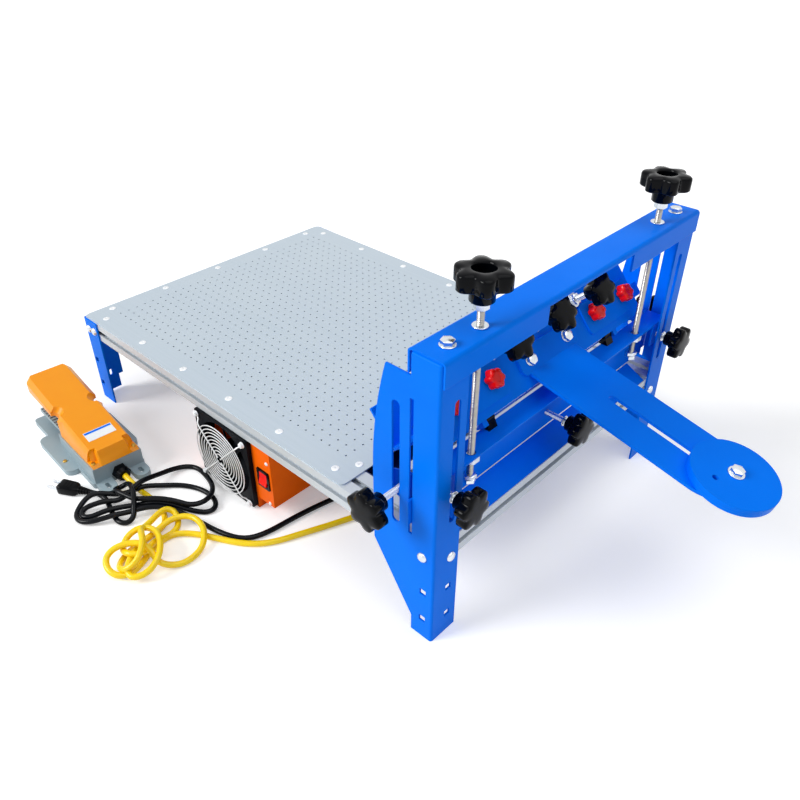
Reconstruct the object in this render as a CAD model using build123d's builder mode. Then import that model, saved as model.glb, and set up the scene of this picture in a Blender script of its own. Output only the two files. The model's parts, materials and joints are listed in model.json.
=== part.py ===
from build123d import *
from math import cos, pi, radians, sin, tan
import os

os.makedirs("parts", exist_ok=True)

# Flatbed vacuum screen printing machine for a table top.
# X runs across the machine, the side with the fan and the switch at +X.
# Y runs along it, the printer standing at -Y and the head with its uprights at +Y.
# Z is up from the floor, and the perforated table is centred on X = 0, Y = 0.

# Perforated table
platen_width = 500.0
platen_length = 600.0
platen_thickness = 2.0
platen_top = 154.0
platen_corner_radius = 8.0
perforation_diameter = 2.2
perforation_spacing = 150.0
perforation_rows = 4
perforation_columns = 3

# Aluminium rails with T slots
rail_width = 40.0
rail_height = 30.0
rail_overhang = 1.0
rail_core_diameter = 7.0
slot_mouth = 8.0
slot_lip = 2.6
slot_cavity_width = 13.0
slot_cavity_depth = 4.5
cross_rail_depth = 30.0
rear_rail_drop = 4.0
inner_rail_gap = 42.0

# Folded sheet of the legs, the uprights and the beam
sheet = 2.5
bend_radius = 3.5
leg_side_width = 38.0
leg_front_width = 42.0
leg_front_step = 8.0
leg_step_height = 28.0
leg_front_bottom = 4.0
square_hole = 9.0
square_hole_heights = (31.0, 76.0)

# Uprights of the head
head_length = 148.0
upright_top = 388.0
upright_foot_depth = 32.0
upright_foot_height = 24.0
upright_depth = 91.0
upright_knee_height = 114.0
upright_straight_top = 215.0
upright_shoulder_depth = 71.0
upright_shoulder_height = 362.0
upright_neck_depth = 37.0
upright_flange_width = 42.0
upright_tab_width = 42.0
side_slot_depth = 57.0
side_slot_width = 11.0
side_slot_bottom = 160.0
side_slot_top = 324.0
guide_slot_bottom = 156.0
guide_slot_top = 336.0
guide_clearance = 1.2
flange_slot_inset = 27.0
flange_slot_width = 9.0
flange_slot_bottom = 178.0
flange_slot_top = 338.0
upright_bolt_inset = 15.0

# Top beam
beam_sheet = 2.5
beam_lip = 25.0
beam_end_inset = 2.5
beam_depth = 44.0
beam_lip_gap = 0.3
beam_cutout_half = 86.0
beam_bolt_inset = 27.0
beam_bolt_hole = 10.5

# Lifting carriage and its lead screws
carriage_sheet = 2.5
carriage_top = 234.0
carriage_front_depth = 36.8
carriage_rear_depth = 8.5
carriage_side_gap = 6.0
carriage_web_bottom = 165.0
carriage_tab_bottom = 172.0
carriage_tab_top = 206.0
carriage_tab_reach = 4.5
carriage_lug_reach = 12.0
carriage_lug_drop = 10.0
carriage_lug_below = 14.0
carriage_lug_root = 24.0
carriage_ear_width = 30.0
carriage_ear_below = 14.0
lead_screw_inset = 75.0
lead_screw_depth = 18.0
lead_screw_diameter = 10.0
lead_screw_bottom = 194.0
lead_screw_clearance = 0.4
lift_nut_flats = 17.0
lift_nut_height = 8.0
lock_nut_height = 5.0
washer_diameter = 20.0
washer_thickness = 2.0
running_gap = 0.4

# Star knobs
knob_diameter = 60.0
knob_lobes = 6
knob_lobe_height = 20.0
knob_hub_diameter = 26.0
knob_hub_height = 15.0
knob_scallop_radius = 12.0
knob_scallop_offset = 3.0
knob_scallop_turn = 15.0
knob_lobe_fillet = 3.0
knob_rim_chamfer = 1.6
knob_hub_draft = 3.0
top_knob_height = 28.0
lock_stud_diameter = 8.0
lock_knob_stand = 6.0
side_lock_height = 206.0
side_lock_stand = 22.0
side_knob_diameter = 50.0
rear_lock_height = 214.0
centre_lock_height = 186.0
rear_knob_diameter = 46.0

# Hinge and swinging screen clamp, shown raised
hinge_depth = 40.0
hinge_z = 243.0
hinge_shaft_diameter = 12.0
hinge_bore_clearance = 0.05
hinge_block_inset = 50.0
hinge_block_thickness = 15.0
hinge_block_depth = 22.0
hinge_block_offset = 3.0
hinge_block_wall = 3.5
hinge_block_rake = 5.0
hinge_shaft_overhang = 3.0
hinge_shaft_chamfer = 0.8
hinge_lug_gap = 1.0
hinge_lug_thickness = 8.0
hinge_lug_wall = 2.4
raised_angle = 50.0
clamp_plate_level = 11.0
clamp_plate_thickness = 4.0
clamp_plate_inset = 45.0
clamp_plate_rear = 0.5
clamp_plate_front = 78.0
clamp_plate_corner = 5.0
clamp_channel_inset = 22.0
clamp_channel_sheet = 3.0
clamp_channel_back = 18.0
clamp_channel_drop = 44.0
clamp_channel_lip = 52.0
clamp_channel_flange = 18.0
registration_plate_gap = 29.0
registration_plate_margin = 7.0
registration_plate_rear = 10.0
registration_plate_front = 52.0
registration_plate_thickness = 3.0
registration_knob_margin = 21.0
registration_knob_place = 34.0
registration_knob_diameter = 25.0
registration_knob_height = 12.0
registration_stud_diameter = 6.0
registration_corner = 6.0
registration_slot_length = 14.4
registration_slot_width = 6.6
registration_scallop_offset = 1.2
registration_draft = 4.0
clamp_knob_spacing = 86.0
clamp_knob_place = 61.0
clamp_knob_diameter = 46.0
clamp_knob_stand = 26.0
clamp_stud_reach = 22.0
clamp_foot_diameter = 16.0
clamp_foot_thickness = 3.0

# Counterweight arm and discs
arm_thickness = 4.0
arm_width = 94.0
arm_tab_width = 114.0
arm_tab_front = 44.0
arm_tab_corner = 8.0
arm_bend_place = 14.0
arm_slope = 13.0
arm_length = 262.0
arm_slot_start = 84.0
arm_slot_end = 256.0
arm_slot_width = 10.0
disc_diameter = 100.0
disc_thickness = 4.0
disc_count = 3
disc_place = 243.0
disc_step = 0.8
disc_bolt_flats = 13.0
disc_bolt_head = 6.0
disc_bolt_diameter = 8.0
disc_hole_diameter = 7.0

# Vacuum tray, control box and fan
tray_sheet = 1.5
tray_port_diameter = 90.0
fan_size = 119.0
fan_depth = 25.0
fan_centre_y = 57.0
fan_proud = 3.0
fan_bottom = 2.5
fan_bore = 112.0
fan_hole_pitch = 105.0
fan_hole_diameter = 4.5
fan_hub_diameter = 40.0
fan_corner_radius = 5.0
fan_motor_diameter = 34.0
fan_motor_depth = 9.0
fan_strut_width = 6.0
fan_blade_count = 7
fan_blade_diameter = 108.0
fan_blade_chord = 22.0
fan_blade_thickness = 2.0
blade_pitch = 60.0
fan_hub_gap = 1.2
fan_hub_chamfer = 1.5
fan_blade_root = 2.0
fan_strut_turn = 20.0
guard_wire = 2.0
guard_rings = 9
guard_ring_pitch = 5.6
guard_inner_radius = 9.0
guard_bulge = 6.0
guard_eye_diameter = 8.0
guard_spoke_bend = 3.0
guard_eye_run = 6.0
box_sheet = 1.5
box_front_gap = 4.0
box_depth = 150.0
box_rear_y = 155.0
box_margin = 3.0
box_bottom = 22.0
box_floor = 0.5
box_flange = 12.0
fan_pocket_gap = 0.3
fit_gap = 0.2
switch_width = 25.0
switch_height = 31.0
switch_depth = 14.0
switch_rim = 2.0
switch_bezel_wall = 2.0
switch_centre_z = 66.0
switch_inset = 17.0
rocker_gap = 0.5
rocker_pivot_depth = 4.0
rocker_pin_diameter = 3.0
rocker_pin_half = 10.4
rocker_proud = 3.0
rocker_tilt = 9.0
gland_hex_share = 0.6
gland_cap_draft = 20.0
gland_run = 15.0

# Foot switch
pedal_stand_off = 90.0
pedal_y = -190.0
pedal_turn = -3.7
pedal_plate_height = 9.0
pedal_toe = 111.0
pedal_heel = 106.5
pedal_plate_half = 41.0
pedal_flange_half = 58.0
pedal_flange_reach = 55.0
pedal_ear_x = 26.0
pedal_ear_reach = 28.0
pedal_ear_width = 24.0
pedal_plate_corner = 6.0
pedal_flange_corner = 12.0
pedal_slot_width = 6.0
pedal_body_half = 38.0
pedal_body_height = 34.0
pedal_body_front = -4.0
pedal_cover_height = 55.0
pedal_heel_bevel = 11.0
pedal_top_radius = 3.0
pedal_notch_radius = 9.0
pedal_hood_top = 88.0
pedal_hood_half = 36.0
pedal_hood_skirt = 24.0
pedal_wall = 4.0
treadle_half = 29.0
treadle_length = 88.0
treadle_thickness = 6.0
treadle_side_gap = 1.0
treadle_lug = 5.0
treadle_lug_foot = 8.0
treadle_lug_half = 5.5
treadle_lug_above = 5.0
treadle_pin_y = -14.0
treadle_pin_height = 24.0
treadle_pin_diameter = 6.0
treadle_rib_count = 11
treadle_rib_height = 1.5
gland_flats = 22.0
gland_length = 16.0
gland_height = 13.2
box_gland_flats = 17.0
box_gland_height = 36.0
mains_gland_y = 120.0
foot_gland_inset = 6.0

# Cords
cord_diameter = 6.6
cord_rest = 0.2
cord_arc_share = 0.45
hank_height = 16.0
knot_height = 28.0
plug_level = 8.0
plug_x = 148.0
plug_y = -76.0
plug_relief = 23.0
plug_length = 28.0
plug_width = 20.0
plug_pin_pitch = 12.7
plug_pin_diameter = 4.8
plug_pin_length = 19.0
plug_relief_flare = 4.0
plug_floor_gap = 0.3
plug_corner = 4.0
hank_fillet = 3.0
hank_chamfer = 2.5
hank_band = (126.0, -8.0, 62.0, 65.0)
hank_stub = 16.0
hank_tail = 14.0
tunnel_x = 96.5
tunnel_start = -40.0
tunnel_length = 110.0
tunnel_gap = 4.5
knot_fillet = 5.0
knot_round = 8.0
knot_stub = 14.0

# Places that follow from the sizes above
half_width = platen_width / 2
half_length = platen_length / 2
upright_rear_y = half_length + head_length
upright_front_y = upright_rear_y - upright_depth
upright_shoulder_y = upright_rear_y - upright_shoulder_depth
upright_neck_y = upright_rear_y - upright_neck_depth
side_slot_y = upright_rear_y - side_slot_depth
beam_front_y = upright_rear_y - beam_depth
carriage_front_y = upright_rear_y - carriage_front_depth
carriage_rear_y = upright_rear_y - carriage_rear_depth
lead_screw_y = upright_rear_y - lead_screw_depth
hinge_y = upright_rear_y - hinge_depth
rail_top = platen_top - platen_thickness
rail_bottom = rail_top - rail_height
rail_outer = half_width + rail_overhang
rail_inner = rail_outer - rail_width
lead_screw_x = rail_outer - lead_screw_inset
beam_bolt_x = rail_outer - beam_bolt_inset
hinge_block_x = lead_screw_x - hinge_block_inset
clamp_plate_length = platen_width - 2 * clamp_plate_inset
clamp_channel_length = platen_width - 2 * clamp_channel_inset
registration_plate_start = arm_tab_width / 2 + registration_plate_gap
registration_plate_end = clamp_plate_length / 2 - registration_plate_margin
registration_plate_length = registration_plate_end - registration_plate_start
registration_plate_x = (registration_plate_start + registration_plate_end) / 2
registration_knob_spacing = registration_plate_length - 2 * registration_knob_margin
pedal_x = half_width + pedal_stand_off
rail_middle = (rail_top + rail_bottom) / 2
sheet_outer = rail_outer + sheet
rail_rear_y = upright_rear_y - sheet
rail_front_y = -half_length + sheet
side_rail_length = rail_rear_y - rail_front_y
hinge_plane = Plane(
    origin=(0, hinge_y, hinge_z),
    x_dir=(1, 0, 0),
    z_dir=(0, sin(radians(raised_angle)), cos(radians(raised_angle))),
)


def finish(piece, name):
    piece.part.label = name
    export_step(piece.part, f"parts/{name}.step")


def at(plane, x, y, z):
    """A plane with the same axes, moved to a local point."""
    moved = Plane(origin=plane.from_local_coords((x, y, z)), x_dir=plane.x_dir, z_dir=plane.z_dir)
    return moved


# Perforated table sheet, screwed down round its edge
with BuildPart() as platen_sheet:
    with BuildSketch(Plane.XY.offset(rail_top)):
        RectangleRounded(platen_width, platen_length, platen_corner_radius)
        with GridLocations(
            perforation_spacing, perforation_spacing, perforation_columns, perforation_rows
        ):
            Circle(perforation_diameter / 2, mode=Mode.SUBTRACT)
    extrude(amount=platen_thickness)
finish(platen_sheet, "platen_sheet")


def rail_section(width, height):
    """Section of a T-slot rail: a slot in each face and a round core."""
    Rectangle(width, height)
    for turn, reach in ((0, width), (90, height), (180, width), (270, height)):
        for slot_width, start, depth in (
            (slot_mouth, 0, slot_lip),
            (slot_cavity_width, slot_lip, slot_cavity_depth),
        ):
            middle = reach / 2 - start - depth / 2
            place = (middle * cos(radians(turn)), middle * sin(radians(turn)))
            with Locations(Location(place, turn)):
                Rectangle(depth, slot_width, mode=Mode.SUBTRACT)
    Circle(rail_core_diameter / 2, mode=Mode.SUBTRACT)


rail_centre_x = rail_outer - rail_width / 2
for side, name in ((1, "side_rail_right"), (-1, "side_rail_left")):
    with BuildPart() as side_rail:
        rail_plane = Plane(
            origin=(side * rail_centre_x, rail_rear_y, rail_middle),
            x_dir=(1, 0, 0),
            z_dir=(0, -1, 0),
        )
        with BuildSketch(rail_plane):
            rail_section(rail_width, rail_height)
        extrude(amount=side_rail_length)
    finish(side_rail, name)

cross_rail_length = 2 * rail_inner
inner_rail_y = half_length + inner_rail_gap
rear_rail_y = rail_rear_y - cross_rail_depth / 2
front_rail_y = rail_front_y + cross_rail_depth / 2
cross_rails = (
    ("front_cross_rail", front_rail_y, rail_middle),
    ("inner_cross_rail", inner_rail_y, rail_middle),
    ("rear_cross_rail", rear_rail_y, rail_middle - rear_rail_drop),
)
for name, place_y, place_z in cross_rails:
    with BuildPart() as cross_rail:
        rail_plane = Plane(
            origin=(-rail_inner, place_y, place_z), x_dir=(0, 1, 0), z_dir=(1, 0, 0)
        )
        with BuildSketch(rail_plane):
            rail_section(cross_rail_depth, rail_height)
        extrude(amount=cross_rail_length)
    finish(cross_rail, name)

# Shallow tray that makes the vacuum chamber under the table
tray_front = front_rail_y + cross_rail_depth / 2
tray_rear = inner_rail_y - cross_rail_depth / 2
tray_middle = (tray_front + tray_rear) / 2
box_front = rail_outer - box_front_gap
box_back = box_front - box_depth
foot_gland_x = box_back + foot_gland_inset
box_middle_x = (box_front + box_back) / 2
with BuildPart() as vacuum_tray:
    with BuildSketch(Plane.XY.offset(rail_bottom)):
        with Locations((0, tray_middle)):
            Rectangle(2 * rail_inner, tray_rear - tray_front)
    extrude(amount=rail_height)
    with BuildSketch(Plane.XY.offset(rail_bottom + tray_sheet)):
        with Locations((0, tray_middle)):
            Rectangle(2 * (rail_inner - tray_sheet), tray_rear - tray_front - 2 * tray_sheet)
    extrude(amount=rail_height, mode=Mode.SUBTRACT)
    with BuildSketch(Plane.XY.offset(rail_bottom)):
        with Locations((box_middle_x, fan_centre_y)):
            Circle(tray_port_diameter / 2)
    extrude(amount=tray_sheet, mode=Mode.SUBTRACT)
finish(vacuum_tray, "vacuum_tray")

# Front legs, folded from sheet
leg_front = -half_length
with BuildPart() as front_leg_right:
    with BuildSketch(Plane.YZ.offset(rail_outer)):
        with Locations((leg_front + leg_side_width / 2, rail_top / 2)):
            Rectangle(leg_side_width, rail_top)
        with Locations(*[(leg_front + square_hole + sheet, z) for z in square_hole_heights]):
            Rectangle(square_hole, square_hole, mode=Mode.SUBTRACT)
    extrude(amount=sheet)
    with BuildSketch(Plane.XZ.offset(-leg_front - sheet)):
        with BuildLine():
            Polyline(
                (sheet_outer, leg_front_bottom),
                (sheet_outer, rail_top),
                (sheet_outer - leg_front_width, rail_top),
                (sheet_outer - leg_front_width, leg_step_height),
                (sheet_outer - leg_front_width + leg_front_step, leg_step_height),
                (sheet_outer - leg_front_width + leg_front_step, leg_front_bottom),
                close=True,
            )
        make_face()
        with Locations((sheet_outer - leg_front_width / 2, (leg_step_height + square_hole))):
            SlotOverall(square_hole + sheet, square_hole / 2, rotation=90, mode=Mode.SUBTRACT)
    extrude(amount=sheet)
    leg_bend = front_leg_right.edges().filter_by(Axis.Z).group_by(Axis.Y)[0].sort_by(Axis.X)[-1]
    fillet(leg_bend, bend_radius)
finish(front_leg_right, "front_leg_right")
with BuildPart() as front_leg_left:
    mirror(front_leg_right.part, about=Plane.YZ)
finish(front_leg_left, "front_leg_left")

# Uprights, folded from sheet with a side plate, a rear flange and a top tab
guide_slot_width = carriage_sheet + 2 * guide_clearance
guide_slot_y = carriage_front_y + carriage_sheet / 2
flange_slot_x = sheet_outer - flange_slot_inset
with BuildPart() as upright_right:
    with BuildSketch(Plane.YZ.offset(rail_outer)):
        with BuildLine():
            foot_y = upright_rear_y - upright_foot_depth
            Polyline(
                (upright_shoulder_y, upright_shoulder_height),
                (upright_neck_y, upright_shoulder_height),
                (upright_neck_y, upright_top),
                (upright_rear_y, upright_top),
                (upright_rear_y, 0),
                (foot_y, 0),
                (foot_y, upright_foot_height),
                (upright_front_y, upright_knee_height),
                (upright_front_y, upright_straight_top),
            )
            TangentArc(
                (upright_front_y, upright_straight_top),
                (upright_shoulder_y, upright_shoulder_height),
                tangent=(0, 1),
            )
        make_face()
        with Locations((side_slot_y, (side_slot_bottom + side_slot_top) / 2)):
            SlotOverall(
                side_slot_top - side_slot_bottom, side_slot_width, rotation=90, mode=Mode.SUBTRACT
            )
        with Locations((guide_slot_y, (guide_slot_bottom + guide_slot_top) / 2)):
            Rectangle(guide_slot_width, guide_slot_top - guide_slot_bottom, mode=Mode.SUBTRACT)
        with Locations(*[(upright_rear_y - upright_bolt_inset, z) for z in square_hole_heights]):
            Rectangle(square_hole, square_hole, mode=Mode.SUBTRACT)
    extrude(amount=sheet)
    with BuildSketch(Plane.XZ.offset(-upright_rear_y)):
        with Locations((sheet_outer - upright_flange_width / 2, upright_top / 2)):
            Rectangle(upright_flange_width, upright_top)
        with Locations((flange_slot_x, (flange_slot_bottom + flange_slot_top) / 2)):
            SlotOverall(
                flange_slot_top - flange_slot_bottom,
                flange_slot_width,
                rotation=90,
                mode=Mode.SUBTRACT,
            )
        with Locations(*[(flange_slot_x, z) for z in square_hole_heights]):
            Rectangle(square_hole, square_hole, mode=Mode.SUBTRACT)
    extrude(amount=sheet)
    with BuildSketch(Plane.XY.offset(upright_top - sheet)):
        with Locations(
            (sheet_outer - upright_tab_width / 2, (upright_neck_y + upright_rear_y) / 2)
        ):
            Rectangle(upright_tab_width, upright_rear_y - upright_neck_y)
        with Locations((beam_bolt_x, (upright_neck_y + upright_rear_y) / 2)):
            Circle(beam_bolt_hole / 2, mode=Mode.SUBTRACT)
    extrude(amount=sheet)
    upright_bend = upright_right.edges().filter_by(Axis.Z).group_by(Axis.Y)[-1].sort_by(Axis.X)[-1]
    fillet(upright_bend, bend_radius)
    tab_bend = upright_right.edges().filter_by(Axis.X).group_by(Axis.Z)[-1].sort_by(Axis.Y)[-1]
    fillet(tab_bend, sheet)
finish(upright_right, "upright_right")
with BuildPart() as upright_left:
    mirror(upright_right.part, about=Plane.YZ)
finish(upright_left, "upright_left")

# Top beam, a channel facing down over the uprights
beam_top = upright_top + beam_sheet
beam_rear_y = upright_rear_y + beam_lip_gap + beam_sheet
beam_half = sheet_outer - beam_end_inset
beam_middle_y = (upright_neck_y + upright_rear_y) / 2
with BuildPart() as top_beam:
    with BuildSketch(Plane.YZ.offset(-beam_half)):
        with BuildLine():
            beam_path = FilletPolyline(
                (beam_front_y + beam_sheet / 2, upright_top - beam_lip),
                (beam_front_y + beam_sheet / 2, upright_top + beam_sheet / 2),
                (beam_rear_y - beam_sheet / 2, upright_top + beam_sheet / 2),
                (beam_rear_y - beam_sheet / 2, upright_top - beam_lip),
                radius=bend_radius,
            )
            offset(beam_path, amount=beam_sheet / 2, side=Side.BOTH, kind=Kind.INTERSECTION)
        make_face()
    extrude(amount=2 * beam_half)
    with BuildSketch(Plane.XZ.offset(-beam_rear_y)):
        with Locations((0, upright_top - beam_lip)):
            Rectangle(2 * beam_cutout_half, 2 * (beam_lip - bend_radius))
    extrude(amount=2 * beam_sheet, mode=Mode.SUBTRACT)
    with BuildSketch(Plane.XY.offset(upright_top)):
        with Locations((beam_bolt_x, beam_middle_y), (-beam_bolt_x, beam_middle_y)):
            Circle(beam_bolt_hole / 2)
        with Locations((lead_screw_x, lead_screw_y), (-lead_screw_x, lead_screw_y)):
            Circle(lead_screw_diameter / 2 + lead_screw_clearance)
    extrude(amount=beam_sheet, mode=Mode.SUBTRACT)
finish(top_beam, "top_beam")


def star_knob(plane, diameter, stand, stud_radius, reach):
    """A star knob, its hub a stand away from the plane. A stud with a radius reaches
    behind the plane."""
    scale = diameter / knob_diameter
    hub = knob_hub_height * scale
    lobes = knob_lobe_height * scale
    with BuildPart() as knob:
        if stud_radius:
            with BuildSketch(plane.offset(-reach)):
                Circle(stud_radius)
            extrude(amount=reach + stand + hub)
        with BuildSketch(plane.offset(stand)):
            Circle(knob_hub_diameter * scale / 2)
        extrude(amount=hub, taper=-knob_hub_draft)
        with BuildSketch(plane.offset(stand + hub)):
            Circle(diameter / 2)
            with PolarLocations(
                diameter / 2 + knob_scallop_offset * scale,
                knob_lobes,
                start_angle=knob_scallop_turn,
            ):
                Circle(knob_scallop_radius * scale, mode=Mode.SUBTRACT)
            fillet(vertices(), knob_lobe_fillet * scale)
        extrude(amount=lobes)
        star_rims = knob.faces().filter_by(GeomType.PLANE).sort_by(SortBy.AREA)[-2:]
        chamfer(star_rims[-1].outer_wire().edges(), knob_rim_chamfer * scale)
    return knob.part


# Lifting carriage: a sheet angle across the head, with guide tabs through the uprights
carriage_half = rail_outer - carriage_side_gap
carriage_tab_half = sheet_outer + carriage_tab_reach
with BuildPart() as lift_carriage:
    with BuildSketch(Plane.XZ.offset(-carriage_front_y - carriage_sheet)):
        with Locations((0, (carriage_web_bottom + carriage_top) / 2)):
            Rectangle(2 * carriage_half, carriage_top - carriage_web_bottom)
        with Locations((0, (carriage_tab_bottom + carriage_tab_top) / 2)):
            Rectangle(2 * carriage_tab_half, carriage_tab_top - carriage_tab_bottom)
        with Locations((0, centre_lock_height)):
            Circle(lock_stud_diameter / 2, mode=Mode.SUBTRACT)
    extrude(amount=carriage_sheet)
    with BuildSketch(Plane.XY.offset(carriage_top - carriage_sheet)):
        with Locations((0, (carriage_front_y + carriage_rear_y) / 2)):
            Rectangle(2 * carriage_half, carriage_rear_y - carriage_front_y)
        with Locations((lead_screw_x, lead_screw_y), (-lead_screw_x, lead_screw_y)):
            Circle(lead_screw_diameter / 2 + lead_screw_clearance, mode=Mode.SUBTRACT)
    extrude(amount=carriage_sheet)
    carriage_bend = (
        lift_carriage.edges().filter_by(Axis.X).group_by(Axis.Z)[-1].sort_by(Axis.Y)[0]
    )
    fillet(carriage_bend, carriage_sheet)
    # Side lugs that take the lock studs
    for side in (1, -1):
        lug_middle = side * (carriage_half - carriage_sheet / 2)
        with BuildSketch(Plane.YZ.offset(lug_middle - carriage_sheet / 2)):
            with BuildLine():
                Polyline(
                    (carriage_front_y, carriage_top),
                    (side_slot_y - carriage_lug_reach, carriage_top - carriage_lug_drop),
                    (side_slot_y - carriage_lug_reach, side_lock_height - carriage_lug_below),
                    (carriage_front_y, side_lock_height - carriage_lug_root),
                    close=True,
                )
            make_face()
            with Locations((side_slot_y, side_lock_height)):
                Circle(lock_stud_diameter / 2, mode=Mode.SUBTRACT)
        extrude(amount=carriage_sheet)
        # Rear ears behind the flange slots
        with BuildSketch(Plane.XZ.offset(-carriage_rear_y)):
            ear_bottom = rear_lock_height - carriage_ear_below
            with Locations((side * flange_slot_x, (carriage_top + ear_bottom) / 2)):
                Rectangle(carriage_ear_width, carriage_top - ear_bottom)
            with Locations((side * flange_slot_x, rear_lock_height)):
                Circle(lock_stud_diameter / 2, mode=Mode.SUBTRACT)
        extrude(amount=carriage_sheet)
finish(lift_carriage, "lift_carriage")

# Lead screws with their knobs and the nuts on the carriage
for side, name in ((1, "right"), (-1, "left")):
    screw_plane = Plane(origin=(side * lead_screw_x, lead_screw_y, beam_top))
    with BuildPart() as lift_screw:
        with BuildSketch(screw_plane.offset(top_knob_height)):
            Circle(lead_screw_diameter / 2)
        extrude(amount=lead_screw_bottom - beam_top - top_knob_height)
        with BuildSketch(screw_plane.offset(running_gap)):
            Circle(washer_diameter / 2)
        extrude(amount=washer_thickness)
        # Nut under the knob, collar under the beam, and two lock nuts at the lower end
        for nut_start in (
            top_knob_height - lift_nut_height,
            -beam_sheet - running_gap - lift_nut_height,
            lead_screw_bottom - beam_top + running_gap,
            lead_screw_bottom - beam_top + 2 * running_gap + lock_nut_height,
        ):
            nut_height = lift_nut_height if nut_start > -beam_lip else lock_nut_height
            with BuildSketch(screw_plane.offset(nut_start)):
                RegularPolygon(lift_nut_flats / 2, 6, major_radius=False)
            extrude(amount=nut_height)
    finish(lift_screw, f"lift_screw_{name}")
    with BuildPart() as lift_knob:
        add(star_knob(screw_plane, knob_diameter, top_knob_height, 0, 0))
    finish(lift_knob, f"lift_knob_{name}")
for side, name in ((1, "lift_nut_right"), (-1, "lift_nut_left")):
    with BuildPart() as lift_nut:
        with BuildSketch(Plane.XY.offset(carriage_top - carriage_sheet - lift_nut_height)):
            with Locations((side * lead_screw_x, lead_screw_y)):
                RegularPolygon(lift_nut_flats / 2, 6, major_radius=False)
                Circle(
                    lead_screw_diameter / 2 + hinge_bore_clearance,
                    mode=Mode.SUBTRACT,
                )
        extrude(amount=lift_nut_height)
    finish(lift_nut, name)

# Lock knobs of the carriage: one at each side plate, one at each flange, one on the web
stud_radius = lock_stud_diameter / 2
for side, name in ((1, "side_lock_knob_right"), (-1, "side_lock_knob_left")):
    side_plane = Plane(
        origin=(side * sheet_outer, side_slot_y, side_lock_height),
        x_dir=(0, 1, 0),
        z_dir=(side, 0, 0),
    )
    with BuildPart() as side_lock_knob:
        add(
            star_knob(
                side_plane,
                side_knob_diameter,
                side_lock_stand,
                stud_radius,
                sheet_outer - carriage_half + carriage_sheet,
            )
        )
    finish(side_lock_knob, name)
rear_knobs = (
    ("rear_lock_knob_right", flange_slot_x, upright_rear_y, rear_lock_height, lock_knob_stand),
    ("rear_lock_knob_left", -flange_slot_x, upright_rear_y, rear_lock_height, lock_knob_stand),
    ("centre_lock_knob", 0, carriage_rear_y, centre_lock_height, lock_knob_stand),
)
for name, x, y, z, stand in rear_knobs:
    rear_plane = Plane(origin=(x, y, z), x_dir=(1, 0, 0), z_dir=(0, 1, 0))
    stud_start = carriage_front_y if x == 0 else carriage_rear_y - carriage_sheet
    with BuildPart() as rear_lock_knob:
        add(star_knob(rear_plane, rear_knob_diameter, stand, stud_radius, y - stud_start))
    finish(rear_lock_knob, name)

# Hinge blocks on the carriage, and the shaft that turns in them with the clamp
hinge_radius = hinge_shaft_diameter / 2
block_round = hinge_radius + hinge_block_wall
for side, name in ((1, "hinge_block_right"), (-1, "hinge_block_left")):
    with BuildPart() as hinge_block:
        with BuildSketch(
            Plane.YZ.offset(side * hinge_block_x - hinge_block_thickness / 2)
        ):
            with BuildLine():
                block_front = hinge_y - hinge_block_depth / 2 + hinge_block_offset
                block_rear = hinge_y + hinge_block_depth / 2 + hinge_block_offset
                Polyline(
                    (hinge_y - block_round, hinge_z),
                    (block_front + hinge_block_rake, carriage_top),
                    (block_rear, carriage_top),
                    (hinge_y + block_round, hinge_z),
                )
                ThreePointArc(
                    (hinge_y + block_round, hinge_z),
                    (hinge_y, hinge_z + block_round),
                    (hinge_y - block_round, hinge_z),
                )
            make_face()
            with Locations((hinge_y, hinge_z)):
                Circle(hinge_radius + hinge_bore_clearance, mode=Mode.SUBTRACT)
        extrude(amount=hinge_block_thickness)
    finish(hinge_block, name)

lug_inner = hinge_block_x + hinge_block_thickness / 2 + hinge_lug_gap
shaft_half = lug_inner + hinge_lug_thickness + hinge_shaft_overhang
with BuildPart() as hinge_shaft:
    with BuildSketch(Plane.YZ.offset(-shaft_half)):
        with Locations((hinge_y, hinge_z)):
            Circle(hinge_radius)
    extrude(amount=2 * shaft_half)
    chamfer(hinge_shaft.edges().filter_by(GeomType.CIRCLE), hinge_shaft_chamfer)
finish(hinge_shaft, "hinge_shaft")

# Clamp plate, tilted with the raised screen. Its local Y runs down to the rear.
clamp_top = clamp_plate_level + clamp_plate_thickness
with BuildPart() as clamp_plate:
    with BuildSketch(hinge_plane.offset(clamp_plate_level)):
        with Locations((0, (clamp_plate_rear - clamp_plate_front) / 2)):
            RectangleRounded(
                clamp_plate_length, clamp_plate_rear + clamp_plate_front, clamp_plate_corner
            )
        with Locations((0, -clamp_knob_place)):
            with GridLocations(clamp_knob_spacing, 0, 3, 1):
                Circle(stud_radius + running_gap, mode=Mode.SUBTRACT)
    extrude(amount=clamp_plate_thickness)
    for side in (1, -1):
        lug_end = side * (lug_inner + hinge_lug_thickness / 2) + hinge_lug_thickness / 2
        lug_plane = Plane(
            origin=hinge_plane.from_local_coords((lug_end, 0, 0)),
            x_dir=-hinge_plane.y_dir,
            z_dir=(-1, 0, 0),
        )
        with BuildSketch(lug_plane):
            Circle(hinge_radius + hinge_lug_wall)
            with Locations((0, clamp_plate_level / 2)):
                Rectangle(2 * (hinge_radius + hinge_lug_wall), clamp_plate_level)
            Circle(hinge_radius, mode=Mode.SUBTRACT)
        extrude(amount=hinge_lug_thickness)
finish(clamp_plate, "clamp_plate")

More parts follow.
